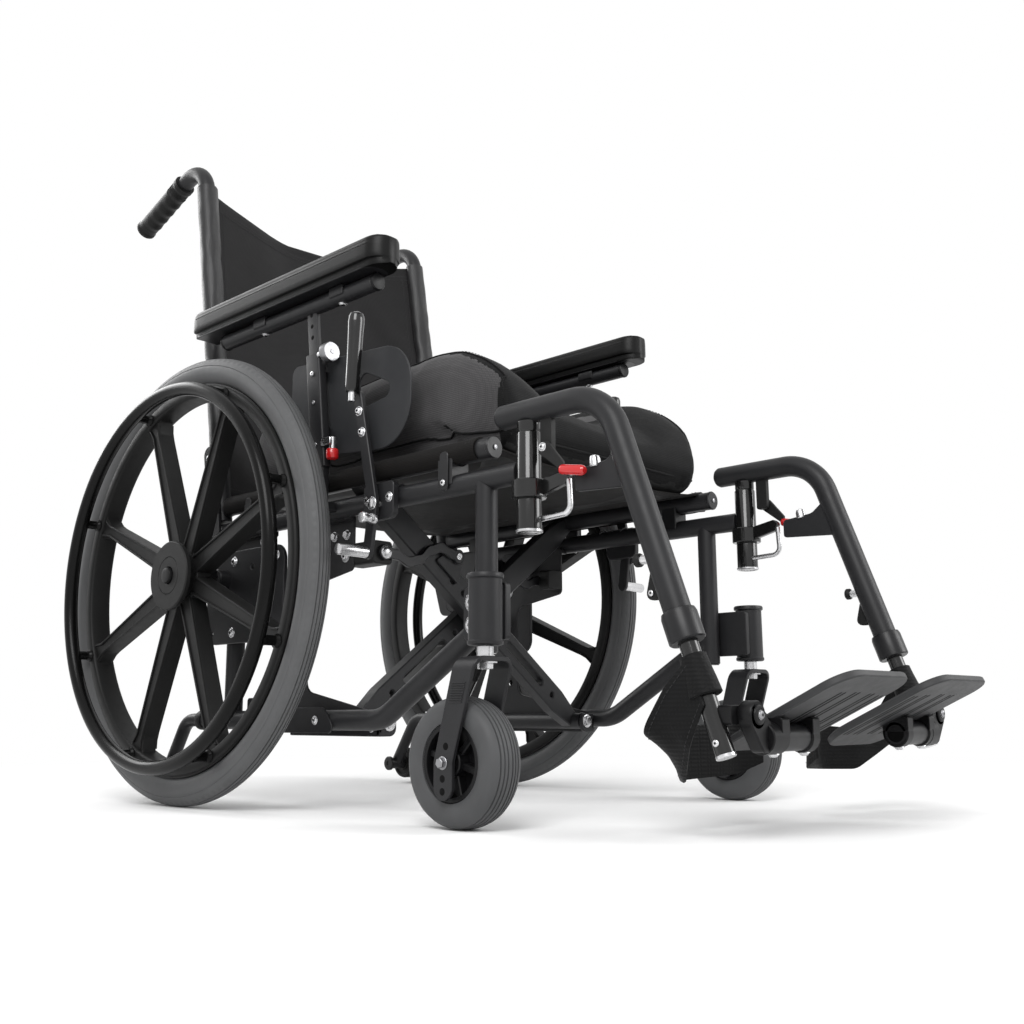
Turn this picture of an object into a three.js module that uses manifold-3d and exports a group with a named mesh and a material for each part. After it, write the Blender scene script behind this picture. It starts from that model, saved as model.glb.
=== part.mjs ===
// A folding tilt-in-space wheelchair, in millimetres, +Z up, front of the chair towards -Y.
// Every piece of one side is drawn for the left (+X) side and mirrored for the right.
// While it is drawn, y is zero at the rear axle; the finished group is centred on its box.
import * as THREE from "three";
import { mergeVertices } from "three/addons/utils/BufferGeometryUtils.js";
import Module from "manifold-3d";

const wasm = await Module();
wasm.setup();

// Clearances shared by every fit
const gap = 0.3;
const slip = 0.4;
const overrun = 4;
const sink = 1;

// The driving dimensions of the chair
const chair = {
  wheelRadius: 305,
  wheelPlane: 304,
  framePlane: 224,
  tubeRadius: 12.7,
  tubeRise: 76,
  lowerTubeHeight: 112,
  railRise: 36,
  frontPostY: -495,
  receiverY: -560,
  frontEdgeZ: 158,
};
// The frame stands on the wheel, so its heights follow the wheel's radius
const tubeHeight = chair.wheelRadius + chair.tubeRise;
const railHeight = tubeHeight + chair.railRise;
const tubeSides = 12;
const cupSides = 16;
const hexSides = 6;
const antiTipSides = 16;

const tyre = { width: 35, shoulder: 14, treadHalf: 7, seatDrop: 37, seatHalf: 10, sidewallDrop: 20,
  edgeDrop: 8 };
const seatRadius = chair.wheelRadius - tyre.seatDrop;
const wheelSegments = 32;

const mag = {
  rimDepth: 19, rimHalf: 16, hubRadius: 33, hubInner: 26, hubOuter: 31, capRadius: 47, capDepth: 8,
  spokeThickness: 26, spokeHubHalf: 13, spokeMidHalf: 8, spokeRimHalf: 15, flareLength: 16,
  axleRadius: 6, axleInnerX: 197, recessDepth: 8,
};
const rimInner = seatRadius - mag.rimDepth;
const spokeCount = 8;

const button = { capRadius: 11, capLength: 8, plungerRadius: 3.1, plungerInnerX: 203, proud: 5 };

const handrim = { proud: 5, tubeRadius: 9.5, outboard: 44, stubRadius: 6, stubRise: 8 };
const handrimSides = 6;

const caster = {
  radius: 69, halfWidth: 23, plane: 265, axleY: -500.7, stemY: -533, hubRadius: 16,
  hubHalf: 20, webHalf: 9, webRadius: 36, tyreInner: 41, tyreShoulder: 66, shoulderHalf: 15, crownHalf: 6,
  legGap: 2.5, legThickness: 5, crownZ: 179, crownThickness: 6, legWidth: 31, legFoot: 31, footWidth: 28,
  kneeZ: 70, axleRadius: 4.6, stemRadius: 6, stemTop: 258, spacerRadius: 9, nutRadius: 8, nutHeight: 6,
};
const casterSegments = 16;

const housing = {
  radius: 18, bottomZ: 190, topZ: 267, capRadius: 20, capHeight: 6, flangeOuter: 246, flangeFront: -545,
  flangeBottom: 197, flangeTop: 258, flangeRear: -480, neckHalf: 9, boltRadius: 5, boltHead: 4, boltRise: 18,
};

const base = {
  postDrop: 15, postBottom: 186, cupTopDrop: 7, cupHalfY: 13, cupHalfX: 13.6, cupDrop: 29,
  slopeTopZ: 219, bendY: -320, bendRadius: 70, rearY: 78, boreLength: 70,
  rearPostRise: 25, sleeveRadius: 15, sleeveInnerX: 197, sleeveOuterX: 262, axlePlateInner: 240,
  axlePlateOuter: 246, plateFrontY: -140, plateRearY: 45, plateDrop: 89, plateRise: 40,
  plateCorner: 18, slotHalf: 5, slotY: -104, slotDrop: 65, slotRise: 15, lugHalf: 9,
  lugInner: 197, lugRise: 30, lugDrop: 8,
};

const sideFrame = {
  frontStubY: -548, rearY: 62, receiverRadius: 14, receiverDrop: 69, receiverRise: 43,
  saddleHalfX: 14, saddleHalfY: 20, saddleFrontY: -440, saddleRearY: -40, saddleDrop: 5,
  tiltPlateInner: 199, tiltPlateOuter: 208, tiltTopHalf: 62, tiltFootHalf: 30, tiltDrop: 21,
  webDrop: 15, webTopDrop: 5, hangerInner: 204.2, strutY: -128, strutHalf: 16, hangerFrontY: -296,
  hangerRearY: -112, kneeRise: 42, gussetFrontY: -238, gussetDrop: 78, hangerDrop: 16, earThickness: 6,
  backBarOuter: 242, backBarY: 44, backBarHalf: 15, backBarRise: 131, gasBossY: -170, gasBossDrop: 36,
};
const barTipShare = 0.9;

const brace = {
  pivotX: 192, pivotDrop: 4, pinRadius: 5.5, knuckleRadius: 11.5, knuckleFrontY: -289, knuckleRearY: -119,
  barHalf: 18, endHalf: 11, taper: 48, barDepth: 20, rearBarY: -231, frontBarY: -263, railFrontY: -506,
  railRearY: 30, slotHalf: 5, slotStart: 95, slotEnd: 178, boltRadius: 6, boltHeadRadius: 10, boltHead: 5,
  plateHalf: 26, plateAlong: 334.6, plateUp: 28.4, plateDepth: 4,
};

const link = {
  depth: 5, eyeRadius: 10, waistHalf: 7, waveUp: 11, pivotX: 190, pivotDrop: 57.7, blockHalf: 15,
  pinRadius: 4, headRadius: 7, headLength: 4,
};
// Along the link from its pinned end, and how far its middle line waves up
const linkWaveShares = [[0, 0], [0.14, 0.2], [0.3, 1], [0.45, 0.7], [0.6, -0.5], [0.75, -1], [0.9, -0.3],
  [1, 0]];

const gas = {
  plane: 187, footY: -30, footRise: 18, eyeHalf: 4, eyeRadius: 9, pinRadius: 3, neckRadius: 5,
  barrelRadius: 9, barrelLength: 160, rodRadius: 3.6, rodInset: 70, rodRoom: 6, eyeStart: 14,
};

const cane = {
  lowY: 45, lowRise: 15, leanShare: 0.163, cornerRise: 625, cornerRadius: 46, gripY: 333, gripRise: 561,
  boltRadius: 5, boltHead: 3, boltRises: [43, 111],
};

const grip = { radius: 17, waistRadius: 15.2, startY: 206, endWall: 6 };
const gripRibs = 4;

const arm = {
  plane: 254, tubeRadius: 11, tubeRise: 275, tubeFrontY: -332, tubeRearY: 8, leanShare: 0.12, postBehind: 83,
  postHalfY: 10, postHalfX: 3.5, postRise: 81, socketTopRise: 207, socketRise: 51, socketHalfY: 14,
  socketHalfX: 6.5, floorWall: 4, knobRadius: 13, knobDepth: 12, knobStem: 5, knobReach: 12,
  knobRise: 197, knobOutset: 3,
};

const pad = { width: 50, outset: 5, height: 38.7, frontY: -366, rearY: 57 };
const padSectionShares = [
  [-0.84, 0], [0.84, 0], [0.88, 0.2], [1, 0.28], [1, 0.7], [0.9, 0.92], [0.6, 1],
  [-0.6, 1], [-0.9, 0.92], [-1, 0.7], [-1, 0.28], [-0.88, 0.2],
];
// Each station: share of the length, of the width, of the height, and its lift
const padStationShares = [
  [0, 0.36, 0.8, 0.12], [0.012, 0.63, 0.93, 0.04], [0.03, 0.87, 0.99, 0], [0.06, 1, 1, 0],
  [0.97, 1, 1, 0], [0.99, 0.96, 0.95, 0], [1, 0.88, 0.8, 0],
];

const latch = {
  topRise: 88, length: 30, stemRadius: 5, tipRadius: 8, tipLength: 14, pinRise: 82, pinRadius: 2,
  earThickness: 3, earHalfZ: 5,
};

const guard = {
  innerX: 239.3, outerX: 242.3, rearY: -140, rearRise: 76, rearTopRise: 207, rearRadius: 12, frontY: -384,
  topRise: 189, bottomRise: 56, frontRadius: 56, windowRearY: -286, windowFrontY: -372, windowRise: 119,
  windowTopRise: 171, windowFrontRise: 131, windowRadius: 11, bossRadius: 6, bossRises: [101, 179],
};

const lock = {
  clampHalfY: 28, plateOuter: 246, plateDrop: 29, plateRise: 17, pivotAhead: 26, pivotDrop: 10,
  leverInner: 250, leverOuter: 256, leverHalf: 8, kneeBehind: 33, kneeRise: 131, gripBehind: 27,
  gripRise: 239,
  gripRadius: 11, gripPlane: 264, shoeBehind: 9, shoeDrop: 69, shoeRadius: 7, shoeOuter: 300, pinRadius: 5,
  boltHead: 3, boltRadius: 5, boltSpread: 18,
};

const legrest = {
  tubeRadius: 14, rearY: -521, topRise: 67, bendY: -668, bendRadius: 62, footY: -798, footZ: 80,
  collarZ: 200, collarRadius: 18, collarLength: 30, boreLength: 150, pinRadius: 9.4,
  pinDrop: 59, shoulderRadius: 13, stubLength: 14, stubRadius: 5, stubDrop: 29,
};

const extension = {
  radius: 9.5, inset: 110, pivotX: 204, pivotZ: 117, blockHalf: 9, blockRear: -780, pinRadius: 5,
  headRadius: 9, headLength: 4,
};

const plate = {
  outerX: 172, innerX: 29, frontY: -894, pitchDeg: 26, length: 160, thickness: 7, frontCorner: 30,
  rearCorner: 42, outerCorner: 22, slotHalf: 1.6, slotFrom: 30, slotTo: 118, sleeveInner: 100,
  sleeveOuter: 186, sleeveRadius: 13, sleeveY: -812, clampHeight: 3, clampWidth: 14, clampHalf: 15,
  cheekFront: -821, cheekRear: -806.3, cheekRadius: 13,
};
const plateSlotShares = [0.26, 0.34, 0.62, 0.7];

const loop = {
  height: 56, thickness: 3.5, tunnelBottomZ: 132, tunnelTopZ: 182, tunnelRadius: 13, bendRadius: 26,
  routeCorners: [[235, -768, 150], [240, -712, 112], [150, -692, 82], [72, -716, 84], [58, -738, 96]],
};

const legLatch = {
  pivotY: -588, pivotRise: 21, lugHalf: 4, lugHalfY: 8, halfY: 6, depth: 5, reachY: 28, reachZ: 26,
  tipRadius: 5.5, tipReachY: 56, tipReachZ: 34, pinRadius: 3, pinProud: 2,
};

const antiTip = {
  radius: 9.3, startY: 20, bendY: 118, bendRadius: 30, wheelY: 168, wheelZ: 34, wheelRadius: 26,
  wheelHalf: 10, axleRadius: 3.6, eyeRadius: 9, eyeHalf: 14, headLength: 2, edgeDrop: 3,
};

const cushion = { halfWidth: 205, frontY: -514, rearY: 26, rise: 4, height: 152 };
// Half a section from the bottom middle to the top middle: share of half the width, share of the height
const cushionSectionShares = [
  [0, 0], [0.52, 0], [0.9, 0.01], [0.985, 0.1], [1, 0.4], [0.995, 0.72], [0.97, 0.92], [0.9, 0.99],
  [0.78, 0.98], [0.64, 0.86], [0.5, 0.68], [0.3, 0.6], [0.12, 0.565], [0, 0.56],
];
// Each station: share of the length, of the height, of the width, and how far it is raised
const cushionStationShares = [
  [0, 0.2, 0.93, 0.2], [0.012, 0.44, 0.965, 0.1], [0.045, 0.68, 0.985, 0.02], [0.1, 0.84, 1, 0],
  [0.17, 0.955, 1, 0], [0.26, 1, 1, 0], [0.42, 1, 1, 0], [0.58, 0.985, 0.995, 0],
  [0.74, 0.98, 1, 0], [0.88, 0.95, 0.995, 0], [0.96, 0.84, 0.985, 0], [0.99, 0.6, 0.97, 0.04],
  [1, 0.4, 0.95, 0.1],
];

const sling = { thickness: 2.2, frontY: -488, rearY: 24, sag: 16 };
// The seat cloth wraps each rail over these shares of a half turn, then sags across
const slingWrapShares = [0.04, 0.2, 0.35, 0.5];
const slingSagShares = [[0.93, 0.25], [0.86, 0.62], [0.7, 0.85], [0.4, 0.96], [0, 1]];

const back = {
  bottomRise: 55, sleeveRise: 135, topRise: 573, thickness: 5, sleeveWall: 3, sagLow: 28, sagHigh: 34,
  edgeDip: 32,
  foldDepth: 3.5,
};
const backFoldWaveShare = 5.5;
const backFoldSlantShare = 9;
const backColumns = 14;
const backRows = 9;

const finishes = {
  charcoal: { color: 0x3b3b3c, roughness: 0.55, metalness: 0.5 },
  blackGloss: { color: 0x151516, roughness: 0.25, metalness: 0.3 },
  blackPlastic: { color: 0x1d1d1e, roughness: 0.5, metalness: 0 },
  tyreGrey: { color: 0x777779, roughness: 0.85, metalness: 0 },
  casterGrey: { color: 0x4a4a4b, roughness: 0.8, metalness: 0 },
  silver: { color: 0xb9b9b9, roughness: 0.3, metalness: 0.9 },
  red: { color: 0xb3202a, roughness: 0.4, metalness: 0 },
  cloth: { color: 0x1f1f21, roughness: 0.9, metalness: 0 },
  webbing: { color: 0x2b2b2d, roughness: 0.9, metalness: 0 },
  composite: { color: 0x57575a, roughness: 0.6, metalness: 0 },
};

// Turning geometry into solids and back

function solidOf(geometry) {
  const bare = geometry.clone();
  for (const name of Object.keys(bare.attributes)) {
    if (name !== "position") bare.deleteAttribute(name);
  }
  const merged = mergeVertices(bare);
  const index = merged.index.array;
  const triangles = [];
  for (let i = 0; i < index.length; i += 3) {
    const [a, b, c] = [index[i], index[i + 1], index[i + 2]];
    if (a !== b && b !== c && c !== a) triangles.push(a, b, c);
  }
  return new wasm.Manifold(new wasm.Mesh({
    numProp: 3,
    vertProperties: Float32Array.from(merged.attributes.position.array),
    triVerts: Uint32Array.from(triangles),
  }));
}

function geometryOf(solid, mirror) {
  const mesh = solid.getMesh();
  const positions = Float32Array.from(mesh.vertProperties);
  const index = Array.from(mesh.triVerts);
  if (mirror) {
    for (let i = 0; i < positions.length; i += 3) positions[i] = -positions[i];
    for (let i = 0; i < index.length; i += 3) [index[i], index[i + 1]] = [index[i + 1], index[i]];
  }
  const geometry = new THREE.BufferGeometry();
  geometry.setAttribute("position", new THREE.BufferAttribute(positions, 3));
  geometry.setIndex(index);
  geometry.computeVertexNormals();
  return geometry;
}

function join(...solids) {
  return solids.slice(1).reduce((sum, next) => sum.add(next), solids[0]);
}

function cut(solid, ...tools) {
  return tools.reduce((rest, tool) => rest.subtract(tool), solid);
}

// Basic shapes

function ring(radius, sides) {
  const points = [];
  for (let i = 0; i < sides; i += 1) {
    const turn = (2 * Math.PI * i) / sides;
    points.push(new THREE.Vector2(radius * Math.cos(turn), radius * Math.sin(turn)));
  }
  return points;
}

// A faceted hole's corner radius, so that its flats still clear a round shaft
function clearing(radius, sides) {
  return (radius + slip) / Math.cos(Math.PI / sides);
}

function box(low, high) {
  const size = high.map((value, axis) => value - low[axis]);
  const geometry = new THREE.BoxGeometry(...size);
  geometry.translate(...low.map((value, axis) => value + size[axis] / 2));
  return solidOf(geometry);
}

function rod(from, to, radius, sides = tubeSides, endRadius = radius) {
  const start = new THREE.Vector3(...from);
  const run = new THREE.Vector3(...to).sub(start);
  const geometry = new THREE.CylinderGeometry(endRadius, radius, run.length(), sides);
  geometry.translate(0, run.length() / 2, 0);
  const turn = new THREE.Quaternion().setFromUnitVectors(new THREE.Vector3(0, 1, 0), run.clone().normalize());
  geometry.applyQuaternion(turn);
  geometry.translate(...from);
  return solidOf(geometry);
}

function alongX(y, z, low, high, radius, sides) {
  return rod([low, y, z], [high, y, z], radius, sides);
}

function alongY(x, z, low, high, radius, sides) {
  return rod([x, low, z], [x, high, z], radius, sides);
}

function lathe(profile, segments) {
  const points = profile.map(([radius, along]) => new THREE.Vector2(radius, along));
  const area = points.reduce((sum, point, i) => sum + point.cross(points[(i + 1) % points.length]), 0);
  if (area < 0) points.reverse();
  const closed = points[0].x > 0 ? [...points, points[0].clone()] : points;
  return new THREE.LatheGeometry(closed, segments);
}

// A profile of [radius, along] points turned about the line from start towards end
function turnedAlong(profile, segments, start, end) {
  const geometry = lathe(profile, segments);
  const run = new THREE.Vector3(...end).sub(new THREE.Vector3(...start)).normalize();
  geometry.applyQuaternion(new THREE.Quaternion().setFromUnitVectors(new THREE.Vector3(0, 1, 0), run));
  geometry.translate(...start);
  return solidOf(geometry);
}

// The same about a line along X
function turned(profile, segments, centre) {
  return turnedAlong(profile, segments, centre, [centre[0] + sink, centre[1], centre[2]]);
}

// Corners of a route or outline with each inner corner rounded to its radius
function rounded(corners, radii, steps, closed = false) {
  const count = corners.length;
  const result = [];
  corners.forEach((corner, i) => {
    const radius = Array.isArray(radii) ? radii[i] : radii;
    const end = !closed && (i === 0 || i === count - 1);
    if (end || !radius) {
      result.push(corner.clone());
      return;
    }
    const toLast = corners[(i + count - 1) % count].clone().sub(corner).normalize();
    const toNext = corners[(i + 1) % count].clone().sub(corner).normalize();
    const angle = toLast.angleTo(toNext);
    const reach = radius / Math.sin(angle / 2);
    const middle = toLast.clone().add(toNext).normalize().multiplyScalar(reach).add(corner);
    const start = toLast.clone().multiplyScalar(radius / Math.tan(angle / 2)).add(corner).sub(middle);
    const stop = toNext.clone().multiplyScalar(radius / Math.tan(angle / 2)).add(corner).sub(middle);
    const sweep = Math.PI - angle;
    for (let k = 0; k <= steps; k += 1) {
      const share = k / steps;
      const point = start.clone().multiplyScalar(Math.sin((1 - share) * sweep) / Math.sin(sweep));
      point.addScaledVector(stop, Math.sin(share * sweep) / Math.sin(sweep));
      result.push(point.add(middle));
    }
  });
  return result;
}

// A route whose sections lie exactly at its points
class Route extends THREE.Curve {
  constructor(points) {
    super();
    this.points = points;
  }

  getPoint(share, target = new THREE.Vector3()) {
    const place = share * (this.points.length - 1);
    const index = Math.min(Math.round(place - 1e-6), this.points.length - 2);
    const near = Math.max(index, 0);
    return target.lerpVectors(this.points[near], this.points[near + 1], place - near);
  }

  getPointAt(share, target) {
    return this.getPoint(share, target);
  }

  getTangentAt(share, target = new THREE.Vector3()) {
    const last = this.points.length - 1;
    const index = Math.round(share * last);
    const before = this.points[Math.max(index - 1, 0)];
    const here = this.points[index];
    const after = this.points[Math.min(index + 1, last)];
    target.set(0, 0, 0);
    if (index > 0) target.add(here.clone().sub(before).normalize());
    if (index < last) target.add(after.clone().sub(here).normalize());
    return target.normalize();
  }
}

function tube(points, radius, sides = tubeSides) {
  const section = new THREE.Shape(ring(radius, sides));
  const geometry = new THREE.ExtrudeGeometry(section, {
    steps: points.length - 1,
    extrudePath: new Route(points),
    curveSegments: 1,
  });
  return solidOf(geometry);
}

function route(...corners) {
  return corners.map((corner) => new THREE.Vector3(...corner));
}

function slab(outline, depth) {
  const points = outline.map((point) => (point.isVector3 ? new THREE.Vector2(point.x,
    point.y) : new THREE.Vector2(...point)));
  return new THREE.ExtrudeGeometry(new THREE.Shape(points), { depth, bevelEnabled: false, steps: 1 });
}

const acrossX = new THREE.Matrix4().makeBasis(
  new THREE.Vector3(0, 1, 0), new THREE.Vector3(0, 0, 1), new THREE.Vector3(1, 0, 0));
const acrossY = new THREE.Matrix4().makeBasis(
  new THREE.Vector3(1, 0, 0), new THREE.Vector3(0, 0, 1), new THREE.Vector3(0, -1, 0));

// A flat piece outlined in [y, z], from x = low to x = high
function sheetX(outline, low, high) {
  const geometry = slab(outline, high - low);
  geometry.applyMatrix4(acrossX);
  geometry.translate(low, 0, 0);
  return solidOf(geometry);
}

// A flat piece outlined in [x, z], from y = low to y = high
function sheetY(outline, low, high) {
  const geometry = slab(outline, high - low);
  geometry.applyMatrix4(acrossY);
  geometry.translate(0, high, 0);
  return solidOf(geometry);
}

// A closed skin over rows of points, each row a loop; the first and last rows are capped
function loft(loops) {
  const count = loops[0].length;
  const positions = [];
  loops.forEach((loop) => loop.forEach((point) => positions.push(...point)));
  const index = [];
  for (let i = 0; i < loops.length - 1; i += 1) {
    for (let j = 0; j < count; j += 1) {
      const a = i * count + j;
      const b = i * count + ((j + 1) % count);
      index.push(a, b, b + count, a, b + count, a + count);
    }
  }
  const caps = [loops[0], loops[loops.length - 1]];
  caps.forEach((loop, side) => {
    const centre = positions.length / 3;
    const middle = loop.reduce((sum, point) => sum.map((value, axis) => value + point[axis] / count),
      [0, 0, 0]);
    positions.push(...middle);
    const first = side === 0 ? 0 : (loops.length - 1) * count;
    for (let j = 0; j < count; j += 1) {
      const a = first + j;
      const b = first + ((j + 1) % count);
      if (side === 0) index.push(centre, b, a);
      else index.push(centre, a, b);
    }
  });
  const geometry = new THREE.BufferGeometry();
  geometry.setAttribute("position", new THREE.Float32BufferAttribute(positions, 3));
  geometry.setIndex(index);
  const solid = solidOf(geometry);
  if (solid.volume() > 0) return solid;
  for (let i = 0; i < index.length; i += 3) [index[i], index[i + 1]] = [index[i + 1], index[i]];
  geometry.setIndex(index);
  return solidOf(geometry);
}

// Wheels

function tyrePiece() {
  const inner = seatRadius + gap;
  const half = tyre.width / 2;
  const profile = [
    [inner, -tyre.seatHalf], [chair.wheelRadius - tyre.sidewallDrop,
      -half], [chair.wheelRadius - tyre.edgeDrop, -tyre.shoulder],
    [chair.wheelRadius, -tyre.treadHalf], [chair.wheelRadius,
      tyre.treadHalf], [chair.wheelRadius - tyre.edgeDrop, tyre.shoulder],
    [chair.wheelRadius - tyre.sidewallDrop, half], [inner, tyre.seatHalf],
  ];
  return turned(profile, wheelSegments, [chair.wheelPlane, 0, chair.wheelRadius]);
}

function magPiece() {
  const centre = [chair.wheelPlane, 0, chair.wheelRadius];
  const rim = turned([
    [rimInner, -mag.rimHalf], [seatRadius, -mag.rimHalf], [seatRadius, mag.rimHalf], [rimInner, mag.rimHalf],
  ], wheelSegments, centre);
  const hub = turned([
    [0, -mag.hubInner], [mag.hubRadius, -mag.hubInner], [mag.hubRadius, mag.hubOuter - mag.capDepth],
    [mag.capRadius, mag.hubOuter - mag.capDepth], [mag.capRadius, mag.hubOuter], [0, mag.hubOuter],
  ], spokeCount * 2, centre);
  const start = mag.hubRadius / 2;
  const end = rimInner + overrun;
  const spokes = [];
  for (let i = 0; i < spokeCount; i += 1) {
    const turn = (2 * Math.PI * (i + 1 / 2)) / spokeCount;
    const place = (along, across) => [
      along * Math.cos(turn) - across * Math.sin(turn),
      along * Math.sin(turn) + across * Math.cos(turn) + chair.wheelRadius,
    ];
    const flare = rimInner - mag.flareLength;
    const outline = [
      place(start, -mag.spokeHubHalf), place(flare, -mag.spokeMidHalf), place(end, -mag.spokeRimHalf),
      place(end, mag.spokeRimHalf), place(flare, mag.spokeMidHalf), place(start, mag.spokeHubHalf),
    ];
    spokes.push(sheetX(outline, chair.wheelPlane - mag.spokeThickness / 2,
      chair.wheelPlane + mag.spokeThickness / 2));
  }
  const axleZ = chair.wheelRadius;
  const outer = chair.wheelPlane + mag.hubOuter;
  const axle = alongX(0, axleZ, mag.axleInnerX, chair.wheelPlane, mag.axleRadius);
  const bore = alongX(0, axleZ, mag.axleInnerX - overrun, outer + overrun,
    clearing(button.plungerRadius, tubeSides));
  const recess = alongX(0, axleZ, outer - mag.recessDepth, outer + overrun,
    clearing(button.capRadius, tubeSides));
  return cut(join(rim, hub, ...spokes, axle), bore, recess);
}

function buttonPiece() {
  const outer = chair.wheelPlane + mag.hubOuter + button.proud;
  const capFoot = outer - button.capLength;
  return join(
    alongX(0, chair.wheelRadius, capFoot, outer, button.capRadius),
    alongX(0, chair.wheelRadius, button.plungerInnerX, capFoot + sink, button.plungerRadius));
}

function handrimPiece() {
  const plane = chair.wheelPlane + handrim.outboard;
  const profile = ring(handrim.tubeRadius,
    handrimSides).map((point) => [(rimInner + handrim.proud) + point.x, point.y]);
  const hoop = turned(profile, wheelSegments, [plane, 0, chair.wheelRadius]);
  const stubs = [];
  for (let i = 0; i < spokeCount; i += 1) {
    const turn = (2 * Math.PI * (i + 1 / 2)) / spokeCount;
    const at = (x, radius) => [x, radius * Math.cos(turn), chair.wheelRadius + radius * Math.sin(turn)];
    stubs.push(rod(
      at(chair.wheelPlane + mag.rimHalf + gap, rimInner + handrim.stubRise),
      at(plane - handrim.tubeRadius / 2, rimInner + handrim.stubRise), handrim.stubRadius, handrimSides));
  }
  return join(hoop, ...stubs);
}

function casterWheelPiece() {
  const bore = clearing(caster.axleRadius, casterSegments);
  const side = [
    [bore, caster.hubHalf], [caster.hubRadius, caster.hubHalf], [caster.hubRadius, caster.webHalf],
    [caster.webRadius, caster.webHalf], [caster.tyreInner, caster.halfWidth], [caster.tyreShoulder,
      caster.shoulderHalf],
    [caster.radius, caster.crownHalf],
  ];
  const other = side.map(([radius, along]) => [radius, -along]).reverse();
  return turned([...side, ...other], casterSegments, [caster.plane, caster.axleY, caster.radius]);
}

function casterForkPiece() {
  const inner = caster.halfWidth + caster.legGap;
  const outer = inner + caster.legThickness;
  const halfTop = caster.legWidth / 2;
  const halfFoot = caster.footWidth / 2;
  const outline = [
    [caster.stemY - halfTop, caster.crownZ], [caster.axleY - halfFoot,
      caster.kneeZ], [caster.axleY - halfFoot, caster.legFoot],
    [caster.axleY + halfFoot, caster.legFoot], [caster.axleY + halfFoot,
      caster.kneeZ], [caster.stemY + halfTop, caster.crownZ],
  ];
  const legs = [
    sheetX(outline, caster.plane - outer, caster.plane - inner),
    sheetX(outline, caster.plane + inner, caster.plane + outer),
  ];
  const crown = box(
    [caster.plane - outer, caster.stemY - halfTop, caster.crownZ - caster.crownThickness],
    [caster.plane + outer, caster.stemY + halfTop, caster.crownZ]);
  const axle = alongX(caster.axleY, caster.radius, caster.plane - outer, caster.plane + outer,
    caster.axleRadius);
  const at = (z) => [caster.plane, caster.stemY, z];
  const crownFoot = caster.crownZ - caster.crownThickness;
  const stem = rod(at(crownFoot), at(caster.stemTop), caster.stemRadius);
  const spacer = rod(at(crownFoot), at(housing.bottomZ - gap), caster.spacerRadius);
  const nut = rod(at(crownFoot - caster.nutHeight), at(caster.crownZ - sink), caster.nutRadius, hexSides);
  return join(...legs, crown, axle, stem, spacer, nut);
}

function casterHousingPiece() {
  const at = (z) => [caster.plane, caster.stemY, z];
  const body = rod(at(housing.bottomZ), at(housing.topZ), housing.radius);
  const cap = rod(at(housing.topZ - housing.capHeight), at(housing.topZ), housing.capRadius);
  const bore = rod(at(housing.bottomZ - overrun), at(caster.stemTop + overrun),
    clearing(caster.stemRadius, tubeSides));
  const inner = chair.framePlane + chair.tubeRadius + gap;
  const flange = box(
    [inner, housing.flangeFront, housing.flangeBottom], [housing.flangeOuter, housing.flangeRear,
      housing.flangeTop]);
  const neck = box(
    [inner, caster.stemY - housing.neckHalf, housing.flangeBottom],
    [caster.plane - caster.nutRadius, caster.stemY + housing.neckHalf, housing.flangeTop]);
  const bolts = [housing.flangeBottom + housing.boltRise,
    housing.flangeTop - housing.boltRise].map((z) => alongX(
    chair.frontPostY, z, housing.flangeOuter - sink, housing.flangeOuter + housing.boltHead, housing.boltRadius, hexSides));
  return join(cut(join(body, cap, flange, neck), bore), ...bolts);
}

// Base: front post, lower tube, rear post and axle plate

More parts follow.
